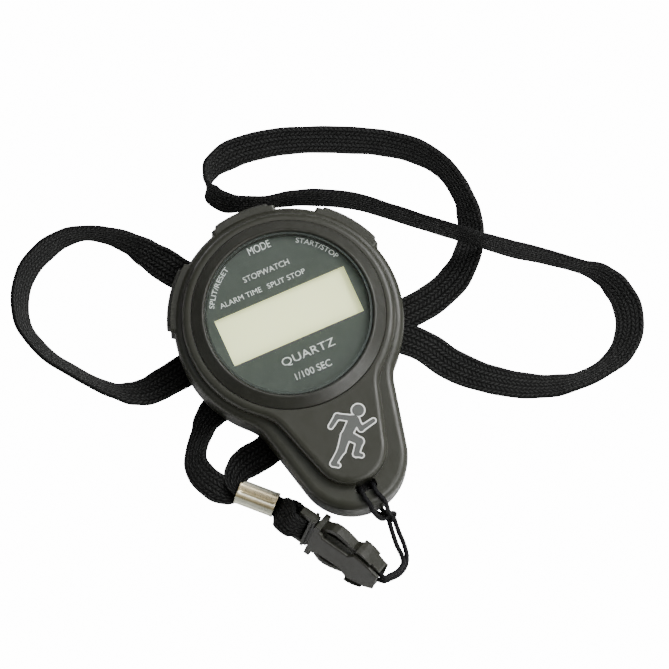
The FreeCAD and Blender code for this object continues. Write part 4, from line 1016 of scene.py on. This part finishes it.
def print_shape(name, distance, top, thick, mat):
    """Print the inside of a signed distance as grid cells, their border pulled to its edge."""
    axes = [np.arange(low, high + RUNNER_GRID, RUNNER_GRID)
            for low, high in (RUNNER_X_RANGE, RUNNER_Y_RANGE)]
    x, y = np.meshgrid(*axes, indexing="ij")
    inside = distance((x[:-1, :-1] + x[1:, 1:]) / 2, (y[:-1, :-1] + y[1:, 1:]) / 2) < 0
    cells = np.zeros(x.shape, int)      # filled cells touching each grid point
    for i in (0, 1):
        for j in (0, 1):
            cells[i:i + inside.shape[0], j:j + inside.shape[1]] += inside
    used = cells > 0
    border = used & (cells < 4)
    probe = 1e-3
    for _ in range(4):
        d = distance(x, y)
        dx = (distance(x + probe, y) - d) / probe
        dy = (distance(x, y + probe) - d) / probe
        slope = np.maximum(dx * dx + dy * dy, 0.3)
        x = np.where(border, x - d * dx / slope, x)
        y = np.where(border, y - d * dy / slope, y)
    index = -np.ones(x.shape, int)
    index[used] = np.arange(used.sum())
    points = np.stack([x[used], y[used], np.full(used.sum(), top)], -1)
    i, j = np.nonzero(inside)
    faces = np.stack([index[i, j], index[i + 1, j], index[i + 1, j + 1], index[i, j + 1]], -1)
    mesh = bpy.data.meshes.new(name)
    mesh.from_pydata((points * MM).tolist(), [], faces.tolist())
    print_on_case(name, mesh, mat, thick)


print_shape("runner_outline", lambda x, y: runner_distance(x, y) - RUNNER_BORDER,
            top=DECK_Z + PRINT_LIFT, thick=INK_THICK, mat=white_ink)
print_shape("runner_fill", runner_distance, top=DECK_Z + 0.055, thick=0.02, mat=grey_ink)

# ---------------------------------------------------------------- floor
FLOOR_HALF = 3.0                    # metres
FLOOR_GAP = 0.00005                 # metres below the table plane


def pale_floor():
    """Pale and faintly glowing as a light bouncer, a plain near-white sweep to the camera."""
    mat = Material("pale_floor", (0.42, 0.42, 0.41), rough=0.7)
    stops = [(0.3, (0.85, 0.85, 0.84)), (0.7, (0.88, 0.88, 0.87))]
    mat.drive("Base Color", mat.ramp(mat.noise(30.0, detail=3.0), stops))
    mat.set("Emission Color", (1.0, 1.0, 1.0, 1))
    mat.set("Emission Strength", 0.10)
    glow = mat.node("ShaderNodeEmission")
    glow.inputs["Strength"].default_value = 15.0
    stops = [(0.3, (0.995, 0.995, 0.99)), (0.7, (1.0, 1.0, 1.0))]
    mat.link(mat.ramp(mat.noise(30.0, detail=3.0), stops), glow.inputs["Color"])
    rays = mat.node("ShaderNodeLightPath")
    mat.show(mat.mix_shader(rays.outputs["Is Camera Ray"], mat.bsdf.outputs[0], glow.outputs[0]))
    return mat


def build_floor():
    mesh = bpy.data.meshes.new("floor")
    corners = [(x * FLOOR_HALF, y * FLOOR_HALF, 0) for x, y in ((-1, -1), (1, -1), (1, 1), (-1, 1))]
    mesh.from_pydata(corners, [], [(0, 1, 2, 3)])
    floor = link_object("floor", mesh)
    floor.location.z = TABLE_Z * MM - FLOOR_GAP
    mesh.materials.append(pale_floor().data)


build_floor()

# ---------------------------------------------------------------- world and lights
world = bpy.data.worlds.new("studio")
bpy.context.scene.world = world
world.use_nodes = True
background = world.node_tree.nodes["Background"]
background.inputs["Color"].default_value = (1.0, 1.0, 1.0, 1)
background.inputs["Strength"].default_value = 0.095

# name, azimuth in lay axes and elevation (degrees), distance, width, height (m), power (W)
LAMPS = [
    ("window_right", -32, 40, 0.9, 0.55, 0.40, 6.3),
    ("window_back_right", 35, 46, 1.0, 0.5, 0.45, 11.5),
    ("left_fill", 185, 52, 1.1, 0.7, 0.6, 1.3),
    ("window_back", 84, 62, 1.1, 0.9, 0.22, 1.8),
]


def add_lamp(name, azimuth, elevation, distance, width, height, power):
    """Rectangular light aimed at the origin."""
    a, e = math.radians(azimuth), math.radians(elevation)
    direction = np.array([math.cos(e) * math.cos(a), math.cos(e) * math.sin(a), math.sin(e)])
    light = bpy.data.lights.new(name, "AREA")
    light.shape = "RECTANGLE"
    light.size, light.size_y = width, height
    light.energy = power
    lamp = link_object(name, light)
    lamp.location = Vector(lay_to_case(direction * distance).tolist())
    lamp.rotation_euler = (-lamp.location).to_track_quat("-Z", "Y").to_euler()


for lamp_row in LAMPS:
    add_lamp(*lamp_row)

# ---------------------------------------------------------------- camera
CAMERA_DISTANCE = 3.0               # metres
CAMERA_ELEVATION = math.radians(75.3)
CAMERA_TARGET = (12.35, -0.6, TABLE_Z)  # lay axes
VIEW_WIDTH = 181.79348              # width seen at the target
SENSOR_WIDTH = 36.0


def add_camera():
    """Looks down from the lay -Y side."""
    target = Vector((lay_to_case(CAMERA_TARGET) * MM).tolist())
    towards = [0.0, -math.cos(CAMERA_ELEVATION), math.sin(CAMERA_ELEVATION)]
    position = target + Vector(lay_to_case(towards).tolist()) * CAMERA_DISTANCE
    data = bpy.data.cameras.new("camera")
    camera = link_object("camera", data)
    camera.location = position
    camera.rotation_euler = (target - position).to_track_quat("-Z", "Y").to_euler()
    data.sensor_width = SENSOR_WIDTH
    data.lens = SENSOR_WIDTH * CAMERA_DISTANCE / (VIEW_WIDTH * MM)
    data.clip_start, data.clip_end = 0.05, 30
    bpy.context.scene.camera = camera


add_camera()
